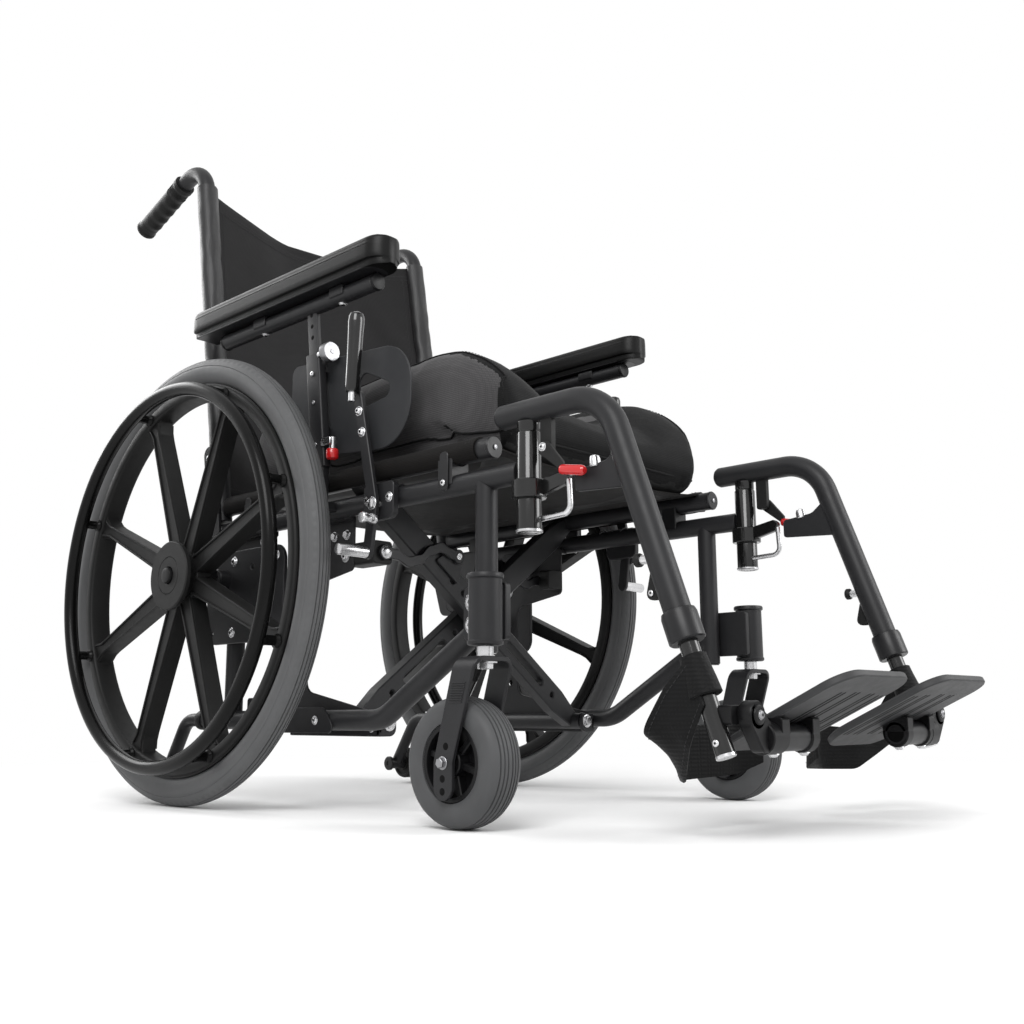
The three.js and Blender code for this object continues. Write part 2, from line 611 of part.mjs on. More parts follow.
function baseFramePiece() {
  const x = chair.framePlane;
  const post = rod([x, chair.frontPostY, base.postBottom], [x, chair.frontPostY, tubeHeight - base.postDrop],
    chair.tubeRadius);
  const lower = tube(rounded(route(
    [x, chair.frontPostY, base.slopeTopZ],
    [x, base.bendY, chair.lowerTubeHeight],
    [x, base.rearY, chair.lowerTubeHeight],
  ), base.bendRadius, 4), chair.tubeRadius);
  const lowerBore = alongY(x, chair.lowerTubeHeight, base.rearY - base.boreLength, base.rearY + overrun,
    clearing(antiTip.radius, tubeSides));
  const rearPost = rod([x, 0, chair.lowerTubeHeight + chair.tubeRadius / 2],
    [x, 0, chair.wheelRadius + base.rearPostRise], chair.tubeRadius);
  const cupBlock = box(
    [x - base.cupHalfX, chair.frontPostY - base.cupHalfY, tubeHeight - base.cupDrop],
    [x + base.cupHalfX, chair.frontPostY + base.cupHalfY, tubeHeight - base.cupTopDrop]);
  const cupHollow = alongY(x, tubeHeight, chair.frontPostY - base.cupHalfY - overrun,
    chair.frontPostY + base.cupHalfY + overrun, clearing(chair.tubeRadius, cupSides), cupSides);
  const cup = cut(cupBlock, cupHollow);
  const sleeve = alongX(0, chair.wheelRadius, base.sleeveInnerX, base.sleeveOuterX, base.sleeveRadius);
  const sleeveBore = alongX(0, chair.wheelRadius, base.sleeveInnerX - overrun, base.sleeveOuterX + overrun,
    clearing(mag.axleRadius, tubeSides));
  const plateOutline = rounded(route(
    [base.plateFrontY, chair.wheelRadius - base.plateDrop, 0],
    [base.plateRearY, chair.wheelRadius - base.plateDrop, 0],
    [base.plateRearY, chair.wheelRadius + base.plateRise, 0],
    [base.plateFrontY, chair.wheelRadius + base.plateRise, 0],
  ), base.plateCorner, 2, true);
  const slot = box(
    [base.axlePlateInner - overrun, base.slotY - base.slotHalf, chair.wheelRadius - base.slotDrop],
    [base.axlePlateOuter + overrun, base.slotY + base.slotHalf, chair.wheelRadius + base.slotRise]);
  const axlePlate = cut(sheetX(plateOutline, base.axlePlateInner, base.axlePlateOuter), slot);
  const spacerBlock = box(
    [x, -base.lugHalf, (chair.wheelRadius - base.plateDrop) + base.plateCorner],
    [base.axlePlateInner + sink, base.lugHalf, chair.wheelRadius]);
  const lug = box(
    [base.lugInner, gas.footY - base.lugHalf, chair.lowerTubeHeight - base.lugDrop],
    [x, gas.footY + base.lugHalf, chair.lowerTubeHeight + base.lugRise]);
  const gasPin = alongX(gas.footY, chair.lowerTubeHeight + gas.footRise, gas.plane - gas.eyeHalf,
    base.lugInner + sink, gas.pinRadius);
  return cut(join(post, cup, lower, rearPost, sleeve, axlePlate, spacerBlock, lug, gasPin), sleeveBore,
    lowerBore);
}

function antiTipTubePiece() {
  const x = chair.framePlane;
  const stem = tube(rounded(route(
    [x, antiTip.startY, chair.lowerTubeHeight],
    [x, antiTip.bendY, chair.lowerTubeHeight],
    [x, antiTip.wheelY, antiTip.wheelZ],
  ), antiTip.bendRadius, 3), antiTip.radius);
  const eye = alongX(antiTip.wheelY, antiTip.wheelZ, x - antiTip.eyeHalf, x + antiTip.eyeHalf,
    antiTip.eyeRadius);
  const wheelEnd = x + antiTip.eyeHalf + gap + 2 * antiTip.wheelHalf + antiTip.headLength;
  const axle = alongX(antiTip.wheelY, antiTip.wheelZ, x, wheelEnd, antiTip.axleRadius);
  return join(stem, eye, axle);
}

function antiTipWheelPiece() {
  const half = antiTip.wheelHalf;
  const x = chair.framePlane + antiTip.eyeHalf + gap + half;
  const bore = clearing(antiTip.axleRadius, antiTipSides);
  const edge = antiTip.wheelRadius - antiTip.edgeDrop;
  return turned([
    [bore, -half], [edge, -half], [antiTip.wheelRadius, -half / 2],
    [antiTip.wheelRadius, half / 2], [edge, half], [bore, half],
  ], antiTipSides, [x, antiTip.wheelY, antiTip.wheelZ]);
}

// Side frame: everything of one side that tilts as one weldment

const bracePivotZ = chair.lowerTubeHeight - brace.pivotDrop;
const postFootY = arm.postBehind - chair.wheelRadius;
const lockPivotY = -chair.wheelRadius - lock.pivotAhead;

// Where a side's folding link lies, and which way it faces from its brace bar
function linkPlane(member) {
  const face = member.barY + member.facing * (brace.barDepth / 2 + brace.plateDepth + gap);
  const far = face + member.facing * link.depth;
  return [Math.min(face, far), Math.max(face, far)];
}

function sideFramePiece(member) {
  const x = chair.framePlane;
  const z = tubeHeight;
  const top = alongY(x, z, sideFrame.frontStubY, sideFrame.rearY, chair.tubeRadius);
  const receiver = rod([x, chair.receiverY, tubeHeight - sideFrame.receiverDrop],
    [x, chair.receiverY, tubeHeight + sideFrame.receiverRise],
    sideFrame.receiverRadius);
  const receiverBore = rod([x, chair.receiverY, tubeHeight - sideFrame.receiverDrop - overrun],
    [x, chair.receiverY, tubeHeight + sideFrame.receiverRise + overrun], clearing(legrest.pinRadius,
      tubeSides));
  const saddles = [sideFrame.saddleFrontY, sideFrame.saddleRearY].map((y) => cut(
    box(
      [x - sideFrame.saddleHalfX, y - sideFrame.saddleHalfY, z],
      [x + sideFrame.saddleHalfX, y + sideFrame.saddleHalfY, railHeight - sideFrame.saddleDrop]),
    alongY(x, railHeight, y - sideFrame.saddleHalfY - overrun, y + sideFrame.saddleHalfY + overrun,
      clearing(chair.tubeRadius, cupSides), cupSides)));
  const tiltPlate = cut(
    sheetX([
      [-sideFrame.tiltTopHalf, z], [-sideFrame.tiltFootHalf, chair.wheelRadius - sideFrame.tiltDrop],
      [sideFrame.tiltFootHalf, chair.wheelRadius - sideFrame.tiltDrop], [sideFrame.tiltTopHalf, z],
    ], sideFrame.tiltPlateInner, sideFrame.tiltPlateOuter),
    alongX(0, chair.wheelRadius, sideFrame.tiltPlateInner - overrun, sideFrame.tiltPlateOuter + overrun,
      clearing(base.sleeveRadius, tubeSides)));
  const tiltWeb = box([sideFrame.tiltPlateInner, -sideFrame.tiltTopHalf, tubeHeight - sideFrame.webDrop],
    [x, sideFrame.tiltTopHalf, z]);
  const strutFrontY = sideFrame.strutY - sideFrame.strutHalf;
  const strutRearY = sideFrame.strutY + sideFrame.strutHalf;
  const shoulderZ = bracePivotZ + brace.knuckleRadius;
  const hanger = sheetX([
    [sideFrame.hangerFrontY, bracePivotZ - sideFrame.hangerDrop],
    [sideFrame.hangerRearY, bracePivotZ - sideFrame.hangerDrop],
    [strutRearY, bracePivotZ + sideFrame.kneeRise], [strutRearY, tubeHeight - sideFrame.webTopDrop],
    [sideFrame.gussetFrontY, tubeHeight - sideFrame.webTopDrop],
    [sideFrame.gussetFrontY, tubeHeight - sideFrame.gussetDrop],
    [strutFrontY, tubeHeight - sideFrame.gussetDrop - sideFrame.strutHalf],
    [strutFrontY, bracePivotZ + sideFrame.kneeRise], [sideFrame.hangerFrontY, shoulderZ],
  ], sideFrame.hangerInner, sideFrame.tiltPlateOuter);
  const hangerWeb = box(
    [sideFrame.hangerInner, sideFrame.gussetFrontY, tubeHeight - sideFrame.webDrop],
    [x, strutRearY, tubeHeight - sideFrame.webTopDrop]);
  const ear = (low) => box(
    [brace.pivotX - brace.knuckleRadius, low, bracePivotZ - sideFrame.hangerDrop],
    [sideFrame.tiltPlateOuter, low + sideFrame.earThickness, shoulderZ]);
  const ears = [ear(sideFrame.hangerFrontY), ear(sideFrame.hangerRearY - sideFrame.earThickness)];
  const pin = alongY(brace.pivotX, bracePivotZ, sideFrame.hangerFrontY + sink, sideFrame.hangerRearY - sink,
    brace.pinRadius);
  const foot = z - chair.tubeRadius / 2;
  const leanAt = (height) => sideFrame.backBarY + cane.leanShare * (height - z);
  const barHalf = sideFrame.backBarHalf;
  const tipRadius = barHalf * barTipShare;
  const backBar = sheetX(rounded(route(
    [leanAt(foot) - barHalf, foot, 0],
    [leanAt(foot) + barHalf, foot, 0],
    [leanAt(tubeHeight + sideFrame.backBarRise) + barHalf, tubeHeight + sideFrame.backBarRise, 0],
    [leanAt(tubeHeight + sideFrame.backBarRise) - barHalf, tubeHeight + sideFrame.backBarRise, 0],
  ), [0, 0, tipRadius, tipRadius], 3, true), x + chair.tubeRadius + gap, sideFrame.backBarOuter);
  const barBolts = cane.boltRises.map((rise) => tubeHeight + rise).map((height) => alongX(leanAt(height),
    height,
    sideFrame.backBarOuter - sink, sideFrame.backBarOuter + cane.boltHead, cane.boltRadius, hexSides));
  const barWeb = alongX(sideFrame.backBarY, z, x, sideFrame.backBarOuter - sink, chair.tubeRadius / 2);
  const gasBoss = alongX(sideFrame.gasBossY, tubeHeight - sideFrame.gasBossDrop,
    gas.plane + gas.eyeHalf + gap,
    sideFrame.tiltPlateOuter, gas.eyeRadius);
  const [linkLow, linkHigh] = linkPlane(member);
  const blockFace = member.facing > 0 ? linkLow - gap : linkHigh + gap;
  const blockRoot = sideFrame.gussetFrontY + (member.facing > 0 ? 0 : sideFrame.strutHalf);
  const block = box(
    [link.pivotX - link.blockHalf, Math.min(blockFace, blockRoot),
      tubeHeight - link.pivotDrop - link.blockHalf],
    [sideFrame.tiltPlateOuter, Math.max(blockFace, blockRoot), tubeHeight - link.pivotDrop + link.blockHalf]);
  const pinEnd = member.facing > 0 ? linkHigh + gap : linkLow - gap;
  const linkPin = alongY(link.pivotX, tubeHeight - link.pivotDrop,
    Math.min(blockFace - member.facing * sink, pinEnd),
    Math.max(blockFace - member.facing * sink, pinEnd), link.pinRadius);
  const linkHead = alongY(link.pivotX, tubeHeight - link.pivotDrop,
    Math.min(pinEnd, pinEnd + member.facing * link.headLength),
    Math.max(pinEnd, pinEnd + member.facing * link.headLength), link.headRadius, hexSides);
  return cut(join(top, receiver, ...saddles, tiltPlate, tiltWeb, hanger, hangerWeb, ...ears, pin, backBar,
    ...barBolts,
    barWeb, gasBoss, block, linkPin, linkHead, armSocket()), receiverBore, armSocketBore());
}

// The armrest's socket leans back a little; its post slides along the same line
const armLean = new THREE.Vector3(0, arm.leanShare, 1).normalize();

const latchY = postFootY + arm.leanShare * (arm.socketRise - arm.postRise)
  - arm.socketHalfY - 2 * gap - latch.tipRadius;

function leaned(low, high, startZ, endZ) {
  const length = (endZ - startZ) / armLean.z;
  const geometry = new THREE.BoxGeometry(high[0] - low[0], high[1] - low[1], length);
  geometry.translate((high[0] + low[0]) / 2, (high[1] + low[1]) / 2, length / 2);
  geometry.applyQuaternion(new THREE.Quaternion().setFromUnitVectors(new THREE.Vector3(0, 0, 1), armLean));
  geometry.translate(arm.plane, postFootY + arm.leanShare * (startZ - (tubeHeight + arm.postRise)), startZ);
  return solidOf(geometry);
}

function armSocket() {
  const socket = leaned([-arm.socketHalfX, -arm.socketHalfY], [arm.socketHalfX, arm.socketHalfY],
    tubeHeight + arm.socketRise, tubeHeight + arm.socketTopRise);
  const footY = postFootY;
  const footHalf = arm.socketHalfY;
  const riser = box(
    [arm.plane - arm.socketHalfX, footY - footHalf, tubeHeight - chair.tubeRadius / 2],
    [arm.plane + arm.socketHalfX, footY + footHalf, tubeHeight + arm.socketRise + sink]);
  const bridge = box(
    [chair.framePlane, footY - footHalf, tubeHeight - chair.tubeRadius / 2],
    [arm.plane, footY + footHalf, tubeHeight + chair.tubeRadius / 2]);
  const knobY = postFootY + arm.leanShare * (arm.knobRise - arm.postRise) - arm.socketHalfY;
  const knob = alongY(arm.plane + arm.knobOutset, tubeHeight + arm.knobRise,
    knobY - arm.knobReach - arm.knobDepth, knobY - arm.knobReach, arm.knobRadius);
  const stem = alongY(arm.plane, tubeHeight + arm.knobRise, knobY - arm.knobReach - sink, knobY + sink,
    arm.knobStem);
  const earInner = arm.plane + latch.stemRadius + gap;
  const ear = box(
    [earInner, latchY - latch.earHalfZ, tubeHeight + latch.pinRise - latch.earHalfZ],
    [earInner + latch.earThickness, footY - footHalf + sink, tubeHeight + latch.pinRise + latch.earHalfZ]);
  const latchPin = alongX(latchY, tubeHeight + latch.pinRise, arm.plane - latch.stemRadius - gap,
    earInner + sink, latch.pinRadius, hexSides);
  return join(socket, riser, bridge, knob, stem, ear, latchPin);
}

function armSocketBore() {
  return leaned(
    [-arm.postHalfX - slip, -arm.postHalfY - slip], [arm.postHalfX + slip, arm.postHalfY + slip],
    (tubeHeight + arm.socketRise) + arm.floorWall, tubeHeight + arm.socketTopRise + overrun);
}

function armFramePiece() {
  const post = leaned([-arm.postHalfX, -arm.postHalfY], [arm.postHalfX, arm.postHalfY],
    tubeHeight + arm.postRise, tubeHeight + arm.tubeRise);
  const bar = alongY(arm.plane, tubeHeight + arm.tubeRise, arm.tubeFrontY, arm.tubeRearY, arm.tubeRadius);
  return join(post, bar);
}

// A long padded arm: rounded sections set along its length
function armPadPiece() {
  const half = pad.width / 2;
  const middle = arm.plane + pad.outset;
  const bottom = tubeHeight + arm.tubeRise + arm.tubeRadius + gap;
  const length = pad.rearY - pad.frontY;
  return loft(padStationShares.map(([along, widthShare, heightShare,
    lift]) => padSectionShares.map(([across, up]) => [
    middle + across * half * widthShare,
    pad.frontY + along * length,
    bottom + pad.height * (lift + up * heightShare),
  ])));
}

function armLatchPiece() {
  const x = arm.plane;
  const y = latchY;
  return cut(join(
    rod([x, y, tubeHeight + latch.topRise - latch.length], [x, y, tubeHeight + latch.topRise],
      latch.stemRadius, hexSides),
    rod([x, y, tubeHeight + latch.topRise - latch.length],
      [x, y, tubeHeight + latch.topRise - latch.length + latch.tipLength], latch.tipRadius),
  ), alongX(y, tubeHeight + latch.pinRise, x - latch.tipRadius, x + latch.tipRadius, clearing(latch.pinRadius,
    hexSides), hexSides));
}

// Clothing guard with a rounded front and a window behind the brake lever
function guardPiece() {
  const outline = rounded(route(
    [guard.rearY, tubeHeight + guard.rearRise, 0],
    [guard.rearY, tubeHeight + guard.rearTopRise, 0],
    [guard.frontY, tubeHeight + guard.topRise, 0],
    [guard.frontY, tubeHeight + guard.bottomRise, 0],
  ), [guard.rearRadius, guard.rearRadius, guard.frontRadius, guard.frontRadius], 4, true);
  const window = rounded(route(
    [guard.windowRearY, tubeHeight + guard.windowRise, 0],
    [guard.windowRearY, tubeHeight + guard.windowTopRise, 0],
    [guard.windowFrontY, tubeHeight + guard.windowFrontRise, 0],
  ), guard.windowRadius, 3, true);
  const panel = cut(
    sheetX(outline, guard.innerX, guard.outerX),
    sheetX(window, guard.innerX - overrun, guard.outerX + overrun));
  const bosses = guard.bossRises.map((rise) => tubeHeight + rise).map((z) => alongX(
    postFootY + arm.leanShare * (z - (tubeHeight + arm.postRise)), z,
    guard.outerX - sink, arm.plane - arm.socketHalfX - gap, guard.bossRadius, hexSides));
  return join(panel, ...bosses);
}

function lockBracketPiece() {
  const inner = chair.framePlane + chair.tubeRadius + gap;
  const plateBody = box(
    [inner, lockPivotY - lock.clampHalfY, tubeHeight - lock.plateDrop],
    [lock.plateOuter, lockPivotY + lock.clampHalfY, tubeHeight + lock.plateRise]);
  const pivot = alongX(lockPivotY, tubeHeight - lock.pivotDrop, lock.plateOuter - sink,
    lock.leverOuter + gap + lock.boltHead, lock.pinRadius);
  const bolts = [-lock.boltSpread, lock.boltSpread].map((shift) => alongX(
    lockPivotY + shift, tubeHeight + lock.plateRise - lock.boltRadius * 2,
    lock.plateOuter - sink, lock.plateOuter + lock.boltHead,
    lock.boltRadius, hexSides));
  return join(plateBody, pivot, ...bolts);
}

function lockLeverPiece() {
  const bar = (from, to, half) => {
    const run = new THREE.Vector2(to[0] - from[0], to[1] - from[1]).normalize().multiplyScalar(half);
    return sheetX([
      [from[0] - run.x + run.y, from[1] - run.y - run.x], [to[0] + run.x + run.y, to[1] + run.y - run.x],
      [to[0] + run.x - run.y, to[1] + run.y + run.x], [from[0] - run.x - run.y, from[1] - run.y + run.x],
    ], lock.leverInner, lock.leverOuter);
  };
  const pivot = [lockPivotY, tubeHeight - lock.pivotDrop];
  const upper = bar(pivot, [lockPivotY + lock.kneeBehind, tubeHeight + lock.kneeRise], lock.leverHalf);
  const lower = bar(pivot, [lockPivotY + lock.shoeBehind, tubeHeight - lock.shoeDrop], lock.leverHalf);
  const handle = rod([lock.gripPlane, lockPivotY + lock.kneeBehind,
    tubeHeight + lock.kneeRise - lock.leverHalf],
    [lock.gripPlane, lockPivotY + lock.gripBehind, tubeHeight + lock.gripRise],
    lock.gripRadius);
  const shoe = alongX(lockPivotY + lock.shoeBehind, tubeHeight - lock.shoeDrop, lock.leverInner,
    lock.shoeOuter, lock.shoeRadius);
  const bore = alongX(lockPivotY, tubeHeight - lock.pivotDrop, lock.leverInner - overrun,
    lock.leverOuter + overrun,
    clearing(lock.pinRadius, tubeSides));
  return cut(join(upper, lower, handle, shoe), bore);
}

// Back: cane, grip, cloth

function caneRoute(endY) {
  const lean = (z) => cane.lowY + cane.leanShare * (z - (tubeHeight + cane.lowRise));
  const corner = [chair.framePlane, lean(tubeHeight + cane.cornerRise), tubeHeight + cane.cornerRise];
  const drop = (cane.cornerRise - cane.gripRise) / (cane.gripY - corner[1]);
  const end = [chair.framePlane, endY, tubeHeight + cane.cornerRise - drop * (endY - corner[1])];
  return { low: [chair.framePlane, cane.lowY, tubeHeight + cane.lowRise], corner, end, lean, drop };
}

function canePiece() {
  const { low, corner, end } = caneRoute(cane.gripY - grip.endWall - gap);
  return tube(rounded(route(low, corner, end), cane.cornerRadius, 5), chair.tubeRadius);
}

function gripPiece() {
  const { end } = caneRoute(cane.gripY);
  const { end: start } = caneRoute(grip.startY);
  const { end: hollow } = caneRoute(cane.gripY - grip.endWall);
  const length = new THREE.Vector3(...end).distanceTo(new THREE.Vector3(...start));
  const profile = [[0, 0]];
  for (let i = 0; i <= 2 * gripRibs; i += 1) {
    profile.push([i % 2 === 0 ? grip.radius : grip.waistRadius, (length * i) / (2 * gripRibs)]);
  }
  profile.push([0, length]);
  const body = turnedAlong(profile, tubeSides, start, end);
  const { end: before } = caneRoute(grip.startY - overrun);
  return cut(body, rod(before, hollow, clearing(chair.tubeRadius, tubeSides)));
}

// Front rigging

function legPoint(z) {
  const share = (tubeHeight + legrest.topRise - z) / (tubeHeight + legrest.topRise - legrest.footZ);
  return [chair.framePlane, legrest.bendY + share * (legrest.footY - legrest.bendY), z];
}

function legrestHangerPiece() {
  const x = chair.framePlane;
  const bottomZ = legrest.collarZ - legrest.collarLength / 2;
  const body = tube(rounded(route(
    [x, legrest.rearY, tubeHeight + legrest.topRise], [x, legrest.bendY,
      tubeHeight + legrest.topRise], legPoint(bottomZ),
  ), legrest.bendRadius, 5), legrest.tubeRadius);
  const collar = rod(legPoint(bottomZ), legPoint(bottomZ + legrest.collarLength), legrest.collarRadius);
  const bore = rod(legPoint(bottomZ - overrun), legPoint(bottomZ + legrest.boreLength),
    clearing(extension.radius, tubeSides));
  const pin = rod([x, chair.receiverY, tubeHeight - legrest.pinDrop],
    [x, chair.receiverY, tubeHeight + legrest.topRise], legrest.pinRadius);
  const shoulder = rod([x, chair.receiverY, tubeHeight + sideFrame.receiverRise + gap],
    [x, chair.receiverY, tubeHeight + legrest.topRise], legrest.shoulderRadius);
  const lug = box(
    [x - legLatch.lugHalf, legLatch.pivotY - legLatch.lugHalfY,
      tubeHeight + legLatch.pivotRise - legLatch.lugHalfY],
    [x + legLatch.lugHalf, legLatch.pivotY + legLatch.lugHalfY,
      tubeHeight + legrest.topRise - legrest.tubeRadius / 2]);
  const latchPin = alongX(legLatch.pivotY, tubeHeight + legLatch.pivotRise, x + legLatch.lugHalf - sink,
    x + legLatch.lugHalf + gap + legLatch.depth + legLatch.pinProud, legLatch.pinRadius);
  const stubFoot = legPoint(tubeHeight - legrest.stubDrop);
  const stub = rod(stubFoot,
    [x, stubFoot[1] + legrest.tubeRadius + legrest.stubLength,
    tubeHeight - legrest.stubDrop], legrest.stubRadius, hexSides);
  return cut(join(body, collar, pin, shoulder, lug, latchPin, stub), bore);
}

function legrestLatchPiece() {
  const x = chair.framePlane + legLatch.lugHalf + gap;
  const half = legLatch.halfY;
  const { pivotY } = legLatch;
  const pivotZ = tubeHeight + legLatch.pivotRise;
  const tipY = pivotY - legLatch.reachY;
  const tipZ = pivotZ - legLatch.reachZ;
  const arm = cut(sheetX([
    [pivotY + half, pivotZ - half], [pivotY + half, pivotZ + half], [pivotY - half, pivotZ + half], [tipY,
      tipZ + half], [tipY, tipZ - half],
  ], x, x + legLatch.depth), alongX(pivotY, pivotZ, x - overrun, x + legLatch.depth + overrun,
    clearing(legLatch.pinRadius, hexSides), hexSides));
  const middleX = x + legLatch.depth / 2;
  const tip = rod([middleX, tipY + half, tipZ + half],
    [middleX, pivotY - legLatch.tipReachY, pivotZ - legLatch.tipReachZ],
    legLatch.tipRadius);
  return join(arm, tip);
}

function legrestExtensionPiece() {
  const x = chair.framePlane;
  const insideZ = legrest.collarZ + extension.inset;
  const stem = rod(legPoint(legrest.footZ), legPoint(insideZ), extension.radius);
  const block = box(
    [extension.pivotX - extension.blockHalf, plate.cheekRear + gap, extension.pivotZ - extension.blockHalf],
    [x, extension.blockRear, extension.pivotZ + extension.blockHalf]);
  const pin = alongY(extension.pivotX, extension.pivotZ, plate.cheekFront - gap - extension.headLength,
    plate.cheekRear + gap + sink, extension.pinRadius);
  const head = alongY(extension.pivotX, extension.pivotZ, plate.cheekFront - gap - extension.headLength,
    plate.cheekFront - gap, extension.headRadius);
  return join(stem, block, pin, head);
}

// The footplate's own plane: its front edge is high, and along runs to the rear
function footplatePoint(x, along, up) {
  const pitch = THREE.MathUtils.degToRad(plate.pitchDeg);
  return [
    x,
    plate.frontY + along * Math.cos(pitch) + up * Math.sin(pitch),
    chair.frontEdgeZ - along * Math.sin(pitch) + up * Math.cos(pitch),
  ];
}

function footplatePiece() {
  const pitch = THREE.MathUtils.degToRad(plate.pitchDeg);
  const outline = rounded(route(
    [plate.innerX, 0, 0], [plate.outerX, 0, 0], [plate.outerX, plate.length, 0], [plate.innerX, plate.length,
      0],
  ), [plate.frontCorner, plate.frontCorner, plate.outerCorner, plate.rearCorner], 4, true);
  const shape = new THREE.Shape(outline.map((point) => new THREE.Vector2(point.x, point.y)));
  const geometry = new THREE.ExtrudeGeometry(shape,
    { depth: plate.thickness, bevelEnabled: false, steps: 1 });
  const placed = new THREE.Matrix4().makeBasis(
    new THREE.Vector3(1, 0, 0),
    new THREE.Vector3(0, Math.cos(pitch), -Math.sin(pitch)),
    new THREE.Vector3(0, Math.sin(pitch), Math.cos(pitch)));
  geometry.translate(0, 0, -plate.thickness);
  geometry.applyMatrix4(placed);
  geometry.translate(0, plate.frontY, chair.frontEdgeZ);
  const board = solidOf(geometry);
  const width = plate.outerX - plate.innerX;
  const slots = plateSlotShares.map((share) => {
    const x = plate.innerX + share * width;
    const tool = new THREE.BoxGeometry(2 * plate.slotHalf, plate.slotTo - plate.slotFrom,
      plate.thickness + 2 * overrun);
    tool.translate(x, (plate.slotTo + plate.slotFrom) / 2, -plate.thickness / 2);
    tool.applyMatrix4(placed);
    tool.translate(0, plate.frontY, chair.frontEdgeZ);
    return solidOf(tool);
  });
  const along = (plate.sleeveY - plate.frontY) / Math.cos(pitch);
  const underside = footplatePoint(0, along, -plate.thickness)[2];
  const sleeveZ = underside - plate.clampHeight - plate.sleeveRadius;
  const sleeve = alongX(plate.sleeveY, sleeveZ, plate.sleeveInner, plate.sleeveOuter, plate.sleeveRadius);
  const clamps = [plate.sleeveInner, plate.outerX - plate.clampWidth].map((x) => box(
    [x, plate.sleeveY - plate.clampHalf, sleeveZ],
    [x + plate.clampWidth, plate.sleeveY + plate.clampHalf, underside + plate.thickness / 2]));
  const cheekHalf = plate.cheekRadius;
  const cheek = join(
    alongY(extension.pivotX, extension.pivotZ, plate.cheekFront, plate.cheekRear, cheekHalf),
    sheetY([
      [extension.pivotX - cheekHalf, extension.pivotZ + sink], [plate.sleeveOuter - plate.clampWidth,
        sleeveZ + plate.sleeveRadius / 2],
      [plate.sleeveOuter - plate.clampWidth, sleeveZ - plate.sleeveRadius], [plate.sleeveOuter,
        sleeveZ - plate.sleeveRadius],
      [extension.pivotX + cheekHalf / 2, extension.pivotZ - cheekHalf / 2], [extension.pivotX,
        extension.pivotZ + cheekHalf / 2],
    ], plate.cheekFront, plate.cheekRear));
  const bore = alongY(extension.pivotX, extension.pivotZ, plate.cheekFront - overrun,
    plate.cheekRear + overrun,
    clearing(extension.pinRadius, tubeSides));
  return join(cut(board, ...slots), sleeve, ...clamps, cut(cheek, bore));
}

// A woven heel strap: a tunnel round the tube and a band hanging behind the heel
function heelLoopPiece() {
  const low = legPoint(loop.tunnelBottomZ);
  const high = legPoint(loop.tunnelTopZ);
  const tunnel = rod(low, high, loop.tunnelRadius);
  const route2 = rounded(loop.routeCorners.map(([x, y, z]) => new THREE.Vector3(x, y, z)), loop.bendRadius,
    3);
  const loops = route2.map((point, i) => {
    const before = route2[Math.max(i - 1, 0)];
    const after = route2[Math.min(i + 1, route2.length - 1)];
    const run = after.clone().sub(before).setZ(0).normalize();
    const side = new THREE.Vector3(run.y, -run.x, 0).multiplyScalar(loop.thickness / 2);
    const half = loop.height / 2;
    return [
      [point.x + side.x, point.y + side.y, point.z - half], [point.x + side.x, point.y + side.y,
        point.z + half],
      [point.x - side.x, point.y - side.y, point.z + half], [point.x - side.x, point.y - side.y,
        point.z - half],
    ];
  });
  const bore = rod(legPoint(loop.tunnelBottomZ - overrun), legPoint(loop.tunnelTopZ + overrun),
    clearing(extension.radius, tubeSides));
  return cut(join(tunnel, loft(loops)), bore);
}

// Folding brace. The left member carries the left rail and pivots low on the right side

const braceRun = new THREE.Vector2(chair.framePlane + brace.pivotX, railHeight - bracePivotZ);
const braceDirection = braceRun.clone().normalize();

function bracePoint(along, up) {
  return [
    -brace.pivotX + along * braceDirection.x - up * braceDirection.y,
    bracePivotZ + along * braceDirection.y + up * braceDirection.x,
  ];
}

// The crossing lies where both members pass the middle of the chair
const crossingAlong = brace.pivotX / braceDirection.x;
const crossingZ = bracePoint(crossingAlong, 0)[1];

